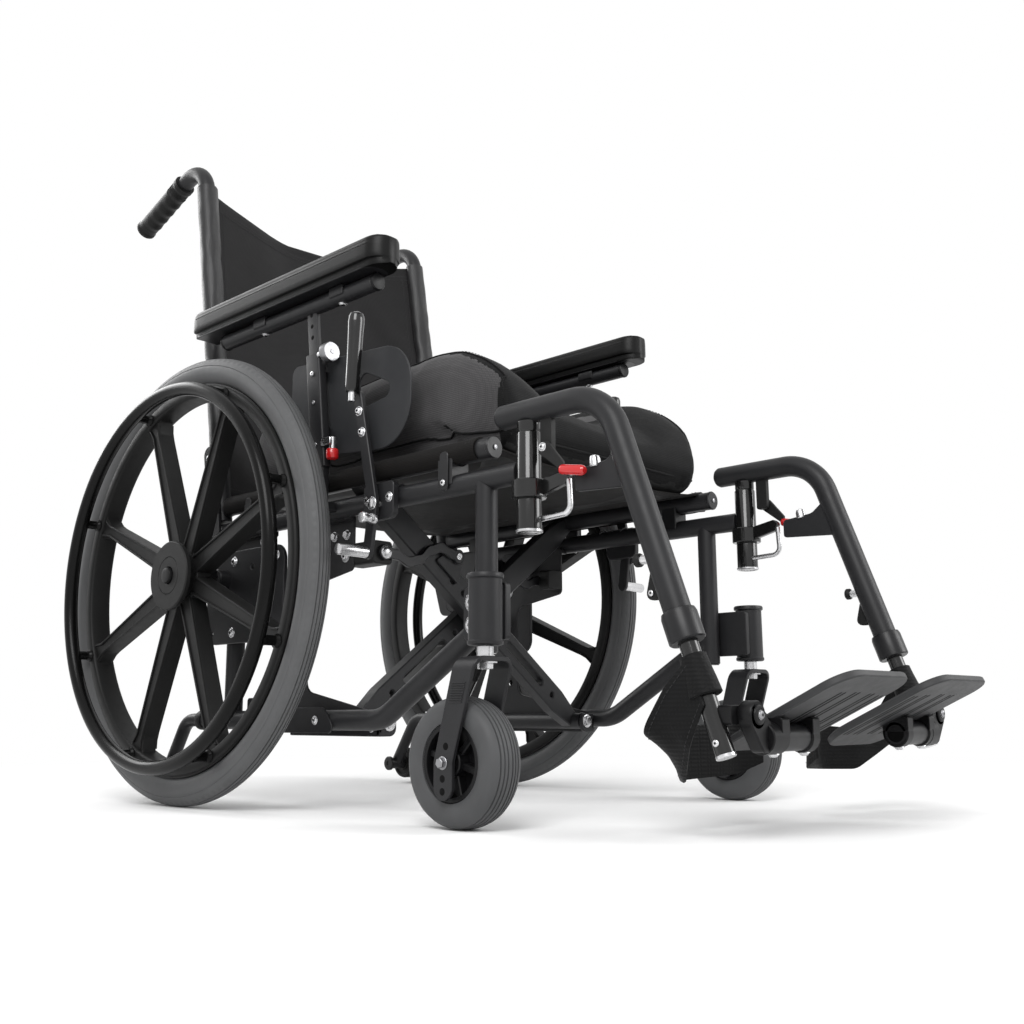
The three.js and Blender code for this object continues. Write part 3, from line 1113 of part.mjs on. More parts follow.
function bracePiece(member) {
  const length = braceRun.length();
  const front = member.barY - brace.barDepth / 2;
  const rear = member.barY + brace.barDepth / 2;
  const { barHalf, endHalf, taper } = brace;
  const bar = sheetY([
    bracePoint(0, -endHalf), bracePoint(taper, -barHalf), bracePoint(length - taper,
      -barHalf), bracePoint(length, -endHalf),
    bracePoint(length, endHalf), bracePoint(length - taper, barHalf), bracePoint(taper,
      barHalf), bracePoint(0, endHalf),
  ], front, rear);
  const slot = sheetY([
    bracePoint(brace.slotStart, -brace.slotHalf), bracePoint(brace.slotEnd, -brace.slotHalf),
    bracePoint(brace.slotEnd, brace.slotHalf), bracePoint(brace.slotStart, brace.slotHalf),
  ], front - overrun, rear + overrun);
  const boltHole = alongY(0, crossingZ, front - overrun, rear + overrun,
    clearing(brace.boltRadius, tubeSides));
  const face = member.facing > 0 ? rear : front;
  const plateFar = face + member.facing * brace.plateDepth;
  const plateHalf = brace.plateHalf;
  const anchor = sheetY([
    bracePoint(brace.plateAlong - plateHalf, 0), bracePoint(brace.plateAlong + plateHalf, 0),
    bracePoint(brace.plateAlong + link.eyeRadius, brace.plateUp + link.eyeRadius),
    bracePoint(brace.plateAlong - link.eyeRadius, brace.plateUp + link.eyeRadius),
  ], Math.min(face - member.facing * sink, plateFar), Math.max(face - member.facing * sink, plateFar));
  const knuckle = alongY(-brace.pivotX, bracePivotZ, brace.knuckleFrontY, brace.knuckleRearY,
    brace.knuckleRadius);
  const pinHole = alongY(-brace.pivotX, bracePivotZ, brace.knuckleFrontY - overrun,
    brace.knuckleRearY + overrun,
    clearing(brace.pinRadius, tubeSides));
  const rail = alongY(chair.framePlane, railHeight, brace.railFrontY, brace.railRearY, chair.tubeRadius);
  return cut(join(bar, knuckle, rail, anchor), slot, boltHole, pinHole);
}

function braceBoltPiece() {
  const front = brace.frontBarY - brace.barDepth / 2 - gap;
  const rear = brace.rearBarY + brace.barDepth / 2 + gap;
  return join(
    alongY(0, crossingZ, front - brace.boltHead, rear + brace.boltHead, brace.boltRadius),
    alongY(0, crossingZ, front - brace.boltHead, front, brace.boltHeadRadius, hexSides),
    alongY(0, crossingZ, rear, rear + brace.boltHead, brace.boltHeadRadius, hexSides),
    alongY(0, crossingZ, brace.frontBarY + brace.barDepth / 2 + gap,
      brace.rearBarY - brace.barDepth / 2 - gap, brace.boltHeadRadius),
  );
}

// A wavy flat link from the side frame's block to the brace's anchor plate
function linkPiece(member) {
  const [low, high] = linkPlane(member);
  const anchor = bracePoint(brace.plateAlong, brace.plateUp);
  const from = new THREE.Vector2(link.pivotX, tubeHeight - link.pivotDrop);
  const run = new THREE.Vector2(...anchor).sub(from);
  const normal = new THREE.Vector2(-run.y, run.x).normalize();
  const line = (side) => linkWaveShares.map(([along, wave]) => {
    const point = from.clone().addScaledVector(run, along).addScaledVector(normal,
      wave * link.waveUp + side * link.waistHalf);
    return [point.x, point.y];
  });
  const bar = sheetY([...line(1), ...line(-1).reverse()], low, high);
  const eyes = [[link.pivotX, tubeHeight - link.pivotDrop],
    anchor].map(([x, z]) => alongY(x, z, low, high, link.eyeRadius));
  const bore = alongY(link.pivotX, tubeHeight - link.pivotDrop, low - overrun, high + overrun,
    clearing(link.pinRadius, tubeSides));
  return cut(join(bar, ...eyes), bore);
}

// Gas spring that balances the tilt

const gasFoot = new THREE.Vector3(gas.plane, gas.footY, chair.lowerTubeHeight + gas.footRise);
const gasHead = new THREE.Vector3(gas.plane, sideFrame.gasBossY, tubeHeight - sideFrame.gasBossDrop);
const gasLength = gasFoot.distanceTo(gasHead);

function gasPoint(along) {
  return gasFoot.clone().lerp(gasHead, along / gasLength).toArray();
}

function gasBarrelPiece() {
  const eye = alongX(gas.footY, chair.lowerTubeHeight + gas.footRise, gas.plane - gas.eyeHalf,
    gas.plane + gas.eyeHalf, gas.eyeRadius);
  const pinHole = alongX(gas.footY, chair.lowerTubeHeight + gas.footRise,
    gas.plane - gas.barrelRadius - overrun, gas.plane + gas.barrelRadius + overrun,
    clearing(gas.pinRadius, tubeSides));
  const neck = rod(gasPoint(0), gasPoint(gas.eyeStart + sink), gas.neckRadius);
  const barrel = rod(gasPoint(gas.eyeStart), gasPoint(gas.eyeStart + gas.barrelLength), gas.barrelRadius);
  const bore = rod(gasPoint(gas.rodInset - gas.rodRoom), gasPoint(gas.eyeStart + gas.barrelLength + overrun),
    clearing(gas.rodRadius, tubeSides));
  return cut(join(eye, neck, barrel), pinHole, bore);
}

function gasRodPiece() {
  const eye = alongX(sideFrame.gasBossY, tubeHeight - sideFrame.gasBossDrop, gas.plane - gas.eyeHalf,
    gas.plane + gas.eyeHalf, gas.eyeRadius);
  return join(eye, rod(gasPoint(gas.rodInset), gasPoint(gasLength), gas.rodRadius));
}

// Soft pieces

function cushionPiece() {
  const length = cushion.rearY - cushion.frontY;
  const halfLoop = cushionSectionShares;
  const full = [...halfLoop, ...halfLoop.slice(1, -1).reverse().map(([across, up]) => [-across, up])];
  return loft(cushionStationShares.map(([along, tall, wide, raise]) => full.map(([across, up]) => [
    across * wide * cushion.halfWidth,
    cushion.frontY + along * length,
    railHeight + cushion.rise + cushion.height * (raise + up * tall),
  ])));
}

// Seat cloth: laid over both rails and sagging between them
function slingPiece() {
  const over = chair.tubeRadius + gap;
  const line = (offset) => [
    ...slingWrapShares.map((share) => [
      chair.framePlane + (over + offset) * Math.cos(Math.PI * share),
      railHeight + (over + offset) * Math.sin(Math.PI * share),
    ]),
    ...slingSagShares.map(([across, drop]) => [
      chair.framePlane * across, railHeight + over + offset - sling.sag * drop,
    ]),
  ];
  const across = (points) => [...points, ...points.slice(0, -1).reverse().map(([x, z]) => [-x, z])];
  return sheetY([...across(line(sling.thickness)), ...across(line(0)).reverse()], sling.frontY, sling.rearY);
}

// Back cloth: a sleeve on each cane and a sheet between them with slack folds
function backPiece() {
  const { lean, low, corner, end } = caneRoute(cane.gripY);
  const rows = [];
  const half = chair.framePlane;
  for (let r = 0; r <= backRows; r += 1) {
    const up = r / backRows;
    const loopPoints = [];
    const face = (side) => {
      for (let c = 0; c <= backColumns; c += 1) {
        const across = -1 + (2 * c) / backColumns;
        const slack = 1 - across * across;
        const rise = back.topRise - back.bottomRise - back.edgeDip * slack * up * up;
        const z = tubeHeight + back.bottomRise + up * rise;
        const fold = Math.sin(across * backFoldWaveShare + up * backFoldSlantShare) * back.foldDepth * slack;
        const sag = back.sagLow + (back.sagHigh - back.sagLow) * up;
        const y = lean(z) + slack * sag + fold + (side * back.thickness) / 2;
        loopPoints.push([across * half, y, z]);
      }
    };
    face(-1);
    const front = loopPoints.splice(0);
    face(1);
    rows.push([...front, ...loopPoints.splice(0).reverse()]);
  }
  const sheet = loft(rows);
  const onCane = (z) => [half, lean(z), z];
  const outer = rod(onCane(tubeHeight + back.sleeveRise), onCane(tubeHeight + back.topRise),
    chair.tubeRadius + gap + back.sleeveWall, cupSides);
  const inner = tube(rounded(route(low, corner, end), cane.cornerRadius, 5),
    clearing(chair.tubeRadius, tubeSides));
  const both = (solid) => [solid, solid.mirror([1, 0, 0])];
  return cut(join(sheet, ...both(outer)), ...both(inner));
}

// Assembly

const members = {
  left: { barY: brace.rearBarY, facing: 1 },
  right: { barY: brace.frontBarY, facing: -1 },
};

const sidePieces = {
  tyre: [tyrePiece, "tyreGrey"],
  mag_wheel: [magPiece, "blackPlastic"],
  axle_button: [buttonPiece, "silver"],
  handrim: [handrimPiece, "blackGloss"],
  caster_wheel: [casterWheelPiece, "casterGrey"],
  caster_fork: [casterForkPiece, "charcoal"],
  caster_housing: [casterHousingPiece, "charcoal"],
  base_frame: [baseFramePiece, "charcoal"],
  anti_tip_tube: [antiTipTubePiece, "charcoal"],
  anti_tip_wheel: [antiTipWheelPiece, "casterGrey"],
  side_frame: [sideFramePiece, "charcoal"],
  back_cane: [canePiece, "charcoal"],
  push_grip: [gripPiece, "blackPlastic"],
  arm_frame: [armFramePiece, "charcoal"],
  arm_pad: [armPadPiece, "blackPlastic"],
  arm_latch: [armLatchPiece, "red"],
  skirt_guard: [guardPiece, "charcoal"],
  lock_bracket: [lockBracketPiece, "charcoal"],
  lock_lever: [lockLeverPiece, "blackGloss"],
  legrest_hanger: [legrestHangerPiece, "charcoal"],
  legrest_latch: [legrestLatchPiece, "red"],
  legrest_extension: [legrestExtensionPiece, "silver"],
  footplate: [footplatePiece, "composite"],
  heel_loop: [heelLoopPiece, "webbing"],
  brace: [bracePiece, "charcoal"],
  folding_link: [linkPiece, "blackPlastic"],
  gas_barrel: [gasBarrelPiece, "blackGloss"],
  gas_rod: [gasRodPiece, "silver"],
};

const middlePieces = {
  brace_bolt: [braceBoltPiece, "silver"],
  seat_sling: [slingPiece, "cloth"],
  cushion: [cushionPiece, "cloth"],
  back_upholstery: [backPiece, "cloth"],
};

function place(group, name, geometry, finish) {
  const mesh = new THREE.Mesh(geometry, new THREE.MeshStandardMaterial(finishes[finish]));
  mesh.name = name;
  group.add(mesh);
}

const wheelchair = new THREE.Group();
for (const [side, member] of Object.entries(members)) {
  for (const [name, [make, finish]] of Object.entries(sidePieces)) {
    place(wheelchair, `${side}_${name}`, geometryOf(make(member), side === "right"), finish);
  }
}
for (const [name, [make, finish]] of Object.entries(middlePieces)) {
  place(wheelchair, name, geometryOf(make(), false), finish);
}

// The origin is under the middle of the chair, on the floor
const extent = new THREE.Box3().setFromObject(wheelchair);
wheelchair.position.y = -(extent.min.y + extent.max.y) / 2;

export default wheelchair;
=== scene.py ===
# A folding tilt-in-space wheelchair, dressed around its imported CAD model
import math

import bmesh
import bpy
from mathutils import Matrix, Quaternion, Vector, geometry, noise
from mathutils.bvhtree import BVHTree


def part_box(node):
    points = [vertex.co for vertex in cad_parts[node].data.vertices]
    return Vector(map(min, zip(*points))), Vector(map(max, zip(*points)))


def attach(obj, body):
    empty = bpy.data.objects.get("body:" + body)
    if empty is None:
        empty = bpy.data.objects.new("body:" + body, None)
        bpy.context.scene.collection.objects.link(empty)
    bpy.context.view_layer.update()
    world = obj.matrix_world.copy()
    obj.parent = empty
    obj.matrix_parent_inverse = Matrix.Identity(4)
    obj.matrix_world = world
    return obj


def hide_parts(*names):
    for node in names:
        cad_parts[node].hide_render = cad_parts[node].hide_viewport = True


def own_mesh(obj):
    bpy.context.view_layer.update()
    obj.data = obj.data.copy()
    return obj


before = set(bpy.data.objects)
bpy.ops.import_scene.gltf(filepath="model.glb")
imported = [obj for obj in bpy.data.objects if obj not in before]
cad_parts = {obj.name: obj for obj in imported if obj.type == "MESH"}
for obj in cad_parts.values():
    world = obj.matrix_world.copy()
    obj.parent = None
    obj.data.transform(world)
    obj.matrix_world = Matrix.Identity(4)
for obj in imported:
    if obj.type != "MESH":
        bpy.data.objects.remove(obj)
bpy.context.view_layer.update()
print("frame loaded")

# Sizes are in millimetres. Pieces are drawn for the sitter's left, with y zero at the rear axle, and
# mirrored for the right.
tyreLow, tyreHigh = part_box("left_tyre")
axleY = 500 * (tyreLow.y + tyreHigh.y)
chair = {"framePlane": 224, "wheelPlane": 304, "wheelRadius": 305, "tube": 12.7, "bed": 13.1, "topTube": 381,
         "lowerTube": 112, "rail": 417, "postY": -495, "receiverY": -560, "lean": 0.163, "plateFace": 208,
         "baseFace": 246, "braceFoot": (192, 108), "linkFoot": (190, 323.3), "gasFoot": (187, -30, 130),
         "gasHead": (187, -170, 345), "antiTip": (168, 34), "footHinge": (204, 117)}


def metres(point):
    return Vector((point[0], point[1] + axleY, point[2])) / 1000


# Camera, fitted to the photograph

view = {"place": (-1103.5, -1356.3, 119.1), "yaw": -0.81913, "pitch": 0.18037, "roll": -0.00422,
        "lens": 38.88, "sensor": 36}


def makeCamera():
    yaw, pitch, roll = view["yaw"], view["pitch"], view["roll"]
    ahead = Vector((-math.sin(yaw) * math.cos(pitch), math.cos(yaw) * math.cos(pitch), math.sin(pitch)))
    right = Vector((math.cos(yaw), math.sin(yaw), 0))
    up = right.cross(ahead)
    rolledRight = math.cos(roll) * right + math.sin(roll) * up
    rolledUp = math.cos(roll) * up - math.sin(roll) * right
    camera = bpy.data.objects.new("Camera", bpy.data.cameras.new("Camera"))
    camera.data.lens = view["lens"]
    camera.data.sensor_width = view["sensor"]
    camera.data.clip_start = 0.01
    axes = Matrix((rolledRight, rolledUp, -ahead)).transposed()
    camera.matrix_world = Matrix.Translation(metres(view["place"])) @ axes.to_4x4()
    bpy.context.collection.objects.link(camera)
    bpy.context.scene.camera = camera


makeCamera()
bpy.context.scene.view_settings.view_transform = "Standard"

# Light, world and floor

studio = {"world": 0.66, "floorHalf": 4.0, "floorColour": 0.96, "fadeFrom": 0.75, "fadeTo": 1.7}
lamps = {
    "keyLamp": {"place": (-2300, -1700, 2300), "aim": (0, -250, 450), "size": 1.6, "power": 68},
    "sideLamp": {"place": (1500, -2600, 1500), "aim": (0, -350, 350), "size": 1.4, "power": 40},
    "rimLamp": {"place": (-600, 2300, 1900), "aim": (0, 0, 600), "size": 1.5, "power": 40},
}


def makeLamps():
    for name, lamp in lamps.items():
        light = bpy.data.lights.new(name, "AREA")
        light.size = lamp["size"]
        light.energy = lamp["power"]
        holder = bpy.data.objects.new(name, light)
        start = metres(lamp["place"])
        holder.matrix_world = Matrix.Translation(start) @ (
            (metres(lamp["aim"]) - start).to_track_quat("-Z", "Y").to_matrix().to_4x4())
        bpy.context.collection.objects.link(holder)


def seenDirectly(nodes, links):
    # One where the camera, a reflection or glass looks straight at the background
    path = nodes.new("ShaderNodeLightPath")
    total = path.outputs["Is Camera Ray"]
    for output in ("Is Glossy Ray", "Is Transmission Ray"):
        add = nodes.new("ShaderNodeMath")
        add.operation = "MAXIMUM"
        links.new(total, add.inputs[0])
        links.new(path.outputs[output], add.inputs[1])
        total = add.outputs[0]
    return total


def makeWorld():
    world = bpy.data.worlds.new("Studio")
    bpy.context.scene.world = world
    world.use_nodes = True
    nodes, links = world.node_tree.nodes, world.node_tree.links
    nodes.clear()
    plain = nodes.new("ShaderNodeBackground")
    plain.inputs["Color"].default_value = (1, 1, 1, 1)
    plain.inputs["Strength"].default_value = studio["world"]
    white = nodes.new("ShaderNodeBackground")
    white.inputs["Color"].default_value = (1, 1, 1, 1)
    white.inputs["Strength"].default_value = 1
    mix = nodes.new("ShaderNodeMixShader")
    out = nodes.new("ShaderNodeOutputWorld")
    links.new(seenDirectly(nodes, links), mix.inputs[0])
    links.new(plain.outputs[0], mix.inputs[1])
    links.new(white.outputs[0], mix.inputs[2])
    links.new(mix.outputs[0], out.inputs["Surface"])


def makeFloor():
    half = studio["floorHalf"]
    mesh = bpy.data.meshes.new("Floor")
    mesh.from_pydata([(-half, -half, 0), (half, -half, 0), (half, half, 0), (-half, half, 0)], [],
                     [(0, 1, 2, 3)])
    floor = bpy.data.objects.new("Floor", mesh)
    bpy.context.collection.objects.link(floor)
    material = bpy.data.materials.new("FloorPaper")
    material.use_nodes = True
    nodes, links = material.node_tree.nodes, material.node_tree.links
    nodes.clear()
    diffuse = nodes.new("ShaderNodeBsdfDiffuse")
    diffuse.inputs["Color"].default_value = (*[studio["floorColour"]] * 3, 1)
    glow = nodes.new("ShaderNodeEmission")
    spot = nodes.new("ShaderNodeNewGeometry")
    length = nodes.new("ShaderNodeVectorMath")
    length.operation = "LENGTH"
    ramp = nodes.new("ShaderNodeMapRange")
    ramp.interpolation_type = "SMOOTHSTEP"
    ramp.inputs["From Min"].default_value = studio["fadeFrom"]
    ramp.inputs["From Max"].default_value = studio["fadeTo"]
    mix = nodes.new("ShaderNodeMixShader")
    out = nodes.new("ShaderNodeOutputMaterial")
    links.new(spot.outputs["Position"], length.inputs[0])
    links.new(length.outputs["Value"], ramp.inputs["Value"])
    links.new(ramp.outputs[0], mix.inputs[0])
    links.new(diffuse.outputs[0], mix.inputs[1])
    links.new(glow.outputs[0], mix.inputs[2])
    links.new(mix.outputs[0], out.inputs["Surface"])
    mesh.materials.append(material)


makeLamps()
makeWorld()
makeFloor()
print("camera, light and floor made")

# Finishes

finishes = {}


def wire(tree, *steps):
    # Each step links an output socket to an input socket
    for start, end in steps:
        tree.links.new(start, end)


def newFinish(name, colour, rough, metal=0.0, coat=0.0, specular=0.5):
    material = bpy.data.materials.new(name)
    material.use_nodes = True
    shader = material.node_tree.nodes["Principled BSDF"]
    shader.inputs["Base Color"].default_value = (*colour, 1)
    shader.inputs["Roughness"].default_value = rough
    shader.inputs["Metallic"].default_value = metal
    shader.inputs["Coat Weight"].default_value = coat
    shader.inputs["Specular IOR Level"].default_value = specular
    finishes[name] = material
    return material.node_tree, shader


def objectPlace(tree):
    return tree.nodes.new("ShaderNodeTexCoord").outputs["Object"]


def cloudy(tree, size, detail=3.0):
    # Soft noise whose lumps are about size millimetres across
    texture = tree.nodes.new("ShaderNodeTexNoise")
    texture.inputs["Scale"].default_value = 1000 / size
    texture.inputs["Detail"].default_value = detail
    wire(tree, (objectPlace(tree), texture.inputs["Vector"]))
    return texture.outputs["Fac"]


def mottle(tree, shader, colour, size, spread):
    # The colour drifts a little lighter and darker
    ramp = tree.nodes.new("ShaderNodeValToRGB")
    ramp.color_ramp.elements[0].position = 0.3
    ramp.color_ramp.elements[1].position = 0.7
    ramp.color_ramp.elements[0].color = (*[channel * (1 - spread) for channel in colour], 1)
    ramp.color_ramp.elements[1].color = (*[channel * (1 + spread) for channel in colour], 1)
    wire(tree, (cloudy(tree, size), ramp.inputs["Fac"]), (ramp.outputs["Color"], shader.inputs["Base Color"]))
    return ramp


def roughen(tree, shader, size, low, high):
    change = tree.nodes.new("ShaderNodeMapRange")
    change.inputs["To Min"].default_value = low
    change.inputs["To Max"].default_value = high
    wire(tree, (cloudy(tree, size), change.inputs["Value"]), (change.outputs[0], shader.inputs["Roughness"]))


def raised(tree, shader, heights, depth):
    # Bumps whose height in millimetres is depth times the given pattern
    bump = tree.nodes.new("ShaderNodeBump")
    bump.inputs["Distance"].default_value = depth / 1000
    wire(tree, (heights, bump.inputs["Height"]), (bump.outputs["Normal"], shader.inputs["Normal"]))


def ripple(tree, along, spacing):
    # Waves along one axis, spacing millimetres apart. The texture's own wave repeats every tau twentieths.
    wave = tree.nodes.new("ShaderNodeTexWave")
    wave.wave_type = "BANDS"
    wave.bands_direction = along
    wave.inputs["Scale"].default_value = 1000 / spacing / 20 * 6.2832 / 2
    wire(tree, (objectPlace(tree), wave.inputs["Vector"]))
    return wave.outputs["Fac"]


def combine(tree, kind, first, second):
    node = tree.nodes.new("ShaderNodeMath")
    node.operation = kind
    wire(tree, (first, node.inputs[0]))
    if hasattr(second, "is_output"):
        wire(tree, (second, node.inputs[1]))
    else:
        node.inputs[1].default_value = second
    return node.outputs[0]


def paint(colour, rough, grain, depth, shine=0.5, metal=0.0, coat=0.0):
    # Roughness runs from its first value to its second; grain and depth are millimetres
    return {"colour": colour, "rough": rough, "grain": grain, "depth": depth, "shine": shine,
            "metal": metal, "coat": coat}


paints = {
    "charcoal": paint((0.013, 0.013, 0.0142), (0.36, 0.5), grain=0.9, depth=0.05, shine=0.28),
    "charcoalPanel": paint((0.0155, 0.0162, 0.018), (0.46, 0.6), grain=1.2, depth=0.06, shine=0.3),
    "glossBlack": paint((0.006, 0.006, 0.006), (0.12, 0.2), grain=6, depth=0.01, shine=0.4, coat=0.25),
    "satinBlack": paint((0.003, 0.003, 0.003), (0.2, 0.3), grain=3, depth=0.01, shine=0.14),
    "moulded": paint((0.008, 0.008, 0.009), (0.3, 0.44), grain=1.4, depth=0.04, shine=0.3),
    "mattPlastic": paint((0.008, 0.008, 0.008), (0.46, 0.62), grain=0.8, depth=0.05, shine=0.22),
    "gripRubber": paint((0.006, 0.006, 0.006), (0.42, 0.58), grain=0.7, depth=0.06, shine=0.2),
    "padSkin": paint((0.0025, 0.0025, 0.0025), (0.34, 0.46), grain=1.1, depth=0.1, shine=0.18),
    "composite": paint((0.018, 0.0184, 0.0196), (0.5, 0.66), grain=0.8, depth=0.07),
    "casterRubber": paint((0.056, 0.057, 0.059), (0.5, 0.64), grain=1.0, depth=0.05, shine=0.4),
    "hubPlastic": paint((0.005, 0.005, 0.0055), (0.34, 0.46), grain=1.2, depth=0.05, shine=0.2),
    "zinc": paint((0.62, 0.62, 0.63), (0.2, 0.34), grain=1.0, depth=0.02, metal=1.0),
    "dullSteel": paint((0.3, 0.3, 0.31), (0.34, 0.46), grain=1.0, depth=0.02, metal=1.0),
    "blackChrome": paint((0.11, 0.11, 0.12), (0.08, 0.16), grain=4, depth=0.005, metal=1.0),
    "redDip": paint((0.5, 0.012, 0.014), (0.16, 0.26), grain=3, depth=0.03, coat=0.3),
    "thread": paint((0.016, 0.016, 0.017), (0.55, 0.7), grain=0.3, depth=0.05, shine=0.3),
    # Painted shade: a near black finish laid on holes, slots and sockets in place of the shade inside them
    "darkHole": paint((0.003, 0.003, 0.003), (0.7, 0.9), grain=1, depth=0.02, shine=0.1),
}


def makePaints():
    for name, look in paints.items():
        tree, shader = newFinish(name, look["colour"], look["rough"][0], look["metal"], look["coat"],
                                 look["shine"])
        mottle(tree, shader, look["colour"], 40, 0.10)
        roughen(tree, shader, 12, *look["rough"])
        raised(tree, shader, cloudy(tree, look["grain"], 2.0), look["depth"])


tyreLook = {"colour": (0.080, 0.081, 0.083), "sipes": 150, "sipeFrom": 9.5, "sipeInner": 298.5,
            "sipeDepth": 0.2, "shine": 0.35}


def makeTyreRubber():
    # Grey rubber with fine cross cuts near the tread's edges
    tree, shader = newFinish("tyreRubber", tyreLook["colour"], 0.55, specular=tyreLook["shine"])
    mottle(tree, shader, tyreLook["colour"], 60, 0.08)
    roughen(tree, shader, 8, 0.50, 0.68)
    centre = metres((chair["wheelPlane"], 0, chair["wheelRadius"]))
    parts = tree.nodes.new("ShaderNodeSeparateXYZ")
    wire(tree, (objectPlace(tree), parts.inputs[0]))
    outward = combine(tree, "ABSOLUTE", parts.outputs["X"], 0.0)
    across = combine(tree, "ABSOLUTE", combine(tree, "SUBTRACT", outward, centre.x), 0.0)
    height = combine(tree, "SUBTRACT", parts.outputs["Z"], centre.z)
    ahead = combine(tree, "SUBTRACT", parts.outputs["Y"], centre.y)
    angle = combine(tree, "ARCTAN2", height, ahead)
    cuts = combine(tree, "SINE", combine(tree, "MULTIPLY", angle, float(tyreLook["sipes"])), 0.0)
    shoulder = combine(tree, "GREATER_THAN", across, tyreLook["sipeFrom"] / 1000)
    radius = combine(tree, "SQRT", combine(tree, "ADD", combine(tree, "MULTIPLY", height, height),
                                           combine(tree, "MULTIPLY", ahead, ahead)), 0.0)
    outer = combine(tree, "GREATER_THAN", radius, tyreLook["sipeInner"] / 1000)
    raised(tree, shader, combine(tree, "MULTIPLY", combine(tree, "MULTIPLY", cuts, shoulder), outer),
           tyreLook["sipeDepth"])


def cloth(colour, rough, weave, depth, sheen, shine):
    # The weave's spacing and its depth are millimetres
    return {"colour": colour, "rough": rough, "weave": weave, "depth": depth, "sheen": sheen,
            "shine": shine}


cloths = {
    "nylon": cloth((0.0075, 0.007, 0.0076), (0.46, 0.6), weave=0.9, depth=0.1, sheen=0.02, shine=0.16),
    # The sleeve is the back cloth's nylon, made glossier and about twice as light: the glossier finish is
    # real, the lighter colour is painted highlight
    "sleeveNylon": cloth((0.014, 0.0138, 0.015), (0.36, 0.48), weave=0.9, depth=0.1, sheen=0.08, shine=0.4),
    "stretchKnit": cloth((0.004, 0.004, 0.0043), (0.6, 0.76), weave=1.2, depth=0.16, sheen=0.03, shine=0.12),
    "slingCloth": cloth((0.0055, 0.0046, 0.0042), (0.6, 0.76), weave=1.0, depth=0.12, sheen=0.03, shine=0.1),
    "webbing": cloth((0.005, 0.005, 0.0053), (0.54, 0.7), weave=2.0, depth=0.3, sheen=0.02, shine=0.14),
    "spacerMesh": cloth((0.052, 0.05, 0.052), (0.6, 0.8), weave=1.2, depth=0.2, sheen=0.25, shine=0.22),
}


def makeCloths():
    for name, look in cloths.items():
        tree, shader = newFinish(name, look["colour"], look["rough"][0], specular=look["shine"])
        shader.inputs["Sheen Weight"].default_value = look["sheen"]
        shader.inputs["Sheen Roughness"].default_value = 0.5
        roughen(tree, shader, 15, *look["rough"])
        spacing = look["weave"]
        warp = combine(tree, "MULTIPLY", ripple(tree, "X", spacing), ripple(tree, "Z", spacing))
        weft = combine(tree, "MULTIPLY", ripple(tree, "Y", spacing), ripple(tree, "Z", spacing))
        weave = combine(tree, "MAXIMUM", warp, weft)
        ramp = mottle(tree, shader, look["colour"], 30, 0.16)
        # Where the weave is low the colour is multiplied towards grey: painted shade in the hollows between
        # the threads
        shade = tree.nodes.new("ShaderNodeMix")
        shade.data_type = "RGBA"
        shade.blend_type = "MULTIPLY"
        shade.inputs["B"].default_value = (0.45, 0.45, 0.45, 1)
        grooveShade = combine(tree, "MULTIPLY", combine(tree, "SUBTRACT", weave, 1.0), -0.8)
        wire(tree, (grooveShade, shade.inputs["Factor"]), (ramp.outputs["Color"], shade.inputs["A"]),
             (shade.outputs["Result"], shader.inputs["Base Color"]))
        raised(tree, shader, weave, look["depth"])


makePaints()
makeTyreRubber()
makeCloths()
print("finishes made")

# Ways of making a piece. A piece is a list of points and a list of faces, each with its finish.


def newPiece():
    return {"points": [], "faces": [], "finish": []}


def addShape(piece, finish, points, faces):
    start = len(piece["points"])
    piece["points"] += [Vector(point) for point in points]
    for face in faces:
        piece["faces"].append([start + corner for corner in face])
        piece["finish"].append(finish)


def addLoops(piece, finish, loops, capped=True, joined=False):
    # A skin over loops of the same count; capped closes both ends, joined meets the first loop again
    count = len(loops[0])
    points = [point for loop in loops for point in loop]
    faces = []
    rows = len(loops) if joined else len(loops) - 1
    for row in range(rows):
        here, there = row * count, ((row + 1) % len(loops)) * count
        for k in range(count):
            faces.append([here + k, here + (k + 1) % count, there + (k + 1) % count, there + k])
    if capped and not joined:
        faces.append(list(range(count))[::-1])
        faces.append([(len(loops) - 1) * count + k for k in range(count)])
    addShape(piece, finish, points, faces)


def roundPath(corners, radii, steps=8, closed=False):
    # A path whose corners are rounded off by arcs
    corners = [Vector(corner) for corner in corners]
    count = len(corners)
    radii = radii if isinstance(radii, (list, tuple)) else [radii] * count
    path = []
    for i, corner in enumerate(corners):
        ends = not closed and i in (0, count - 1)
        if ends or radii[i] <= 0:
            path.append(corner)
            continue
        before = (corners[i - 1] - corner).normalized()
        after = (corners[(i + 1) % count] - corner).normalized()
        half = before.angle(after) / 2
        reach = radii[i] / math.tan(half)
        middle = corner + (before + after).normalized() * (radii[i] / math.sin(half))
        first, last = corner + before * reach - middle, corner + after * reach - middle
        turn = first.angle(last)
        axis = first.cross(last).normalized()
        for step in range(steps + 1):
            path.append(middle + Quaternion(axis, turn * step / steps) @ first)
    return path


def sweep(piece, finish, path, section, joined=False):
    # Carries a section of [across, up] points, which may change along the path, without twisting it
    path = [Vector(point) for point in path]
    count = len(path)
    runs = []
    for i in range(count):
        ahead = path[(i + 1) % count] if joined else path[min(i + 1, count - 1)]
        behind = path[i - 1] if joined else path[max(i - 1, 0)]
        runs.append((ahead - behind).normalized())
    across = runs[0].orthogonal().normalized()
    if abs(runs[0].x) < 0.9:
        across = (Vector((1, 0, 0)) - runs[0] * runs[0].x).normalized()
    loops = []
    for i, (point, run) in enumerate(zip(path, runs)):
        if i:
            across = runs[i - 1].rotation_difference(run) @ across
            across = (across - run * across.dot(run)).normalized()
        up = run.cross(across)
        now = section(i / (count - 1)) if callable(section) else section
        loops.append([point + across * u + up * v for u, v in now])
    addLoops(piece, finish, loops, joined=joined)


def ring(radius, sides=24):
    return [(radius * math.cos(math.tau * k / sides),
             radius * math.sin(math.tau * k / sides)) for k in range(sides)]


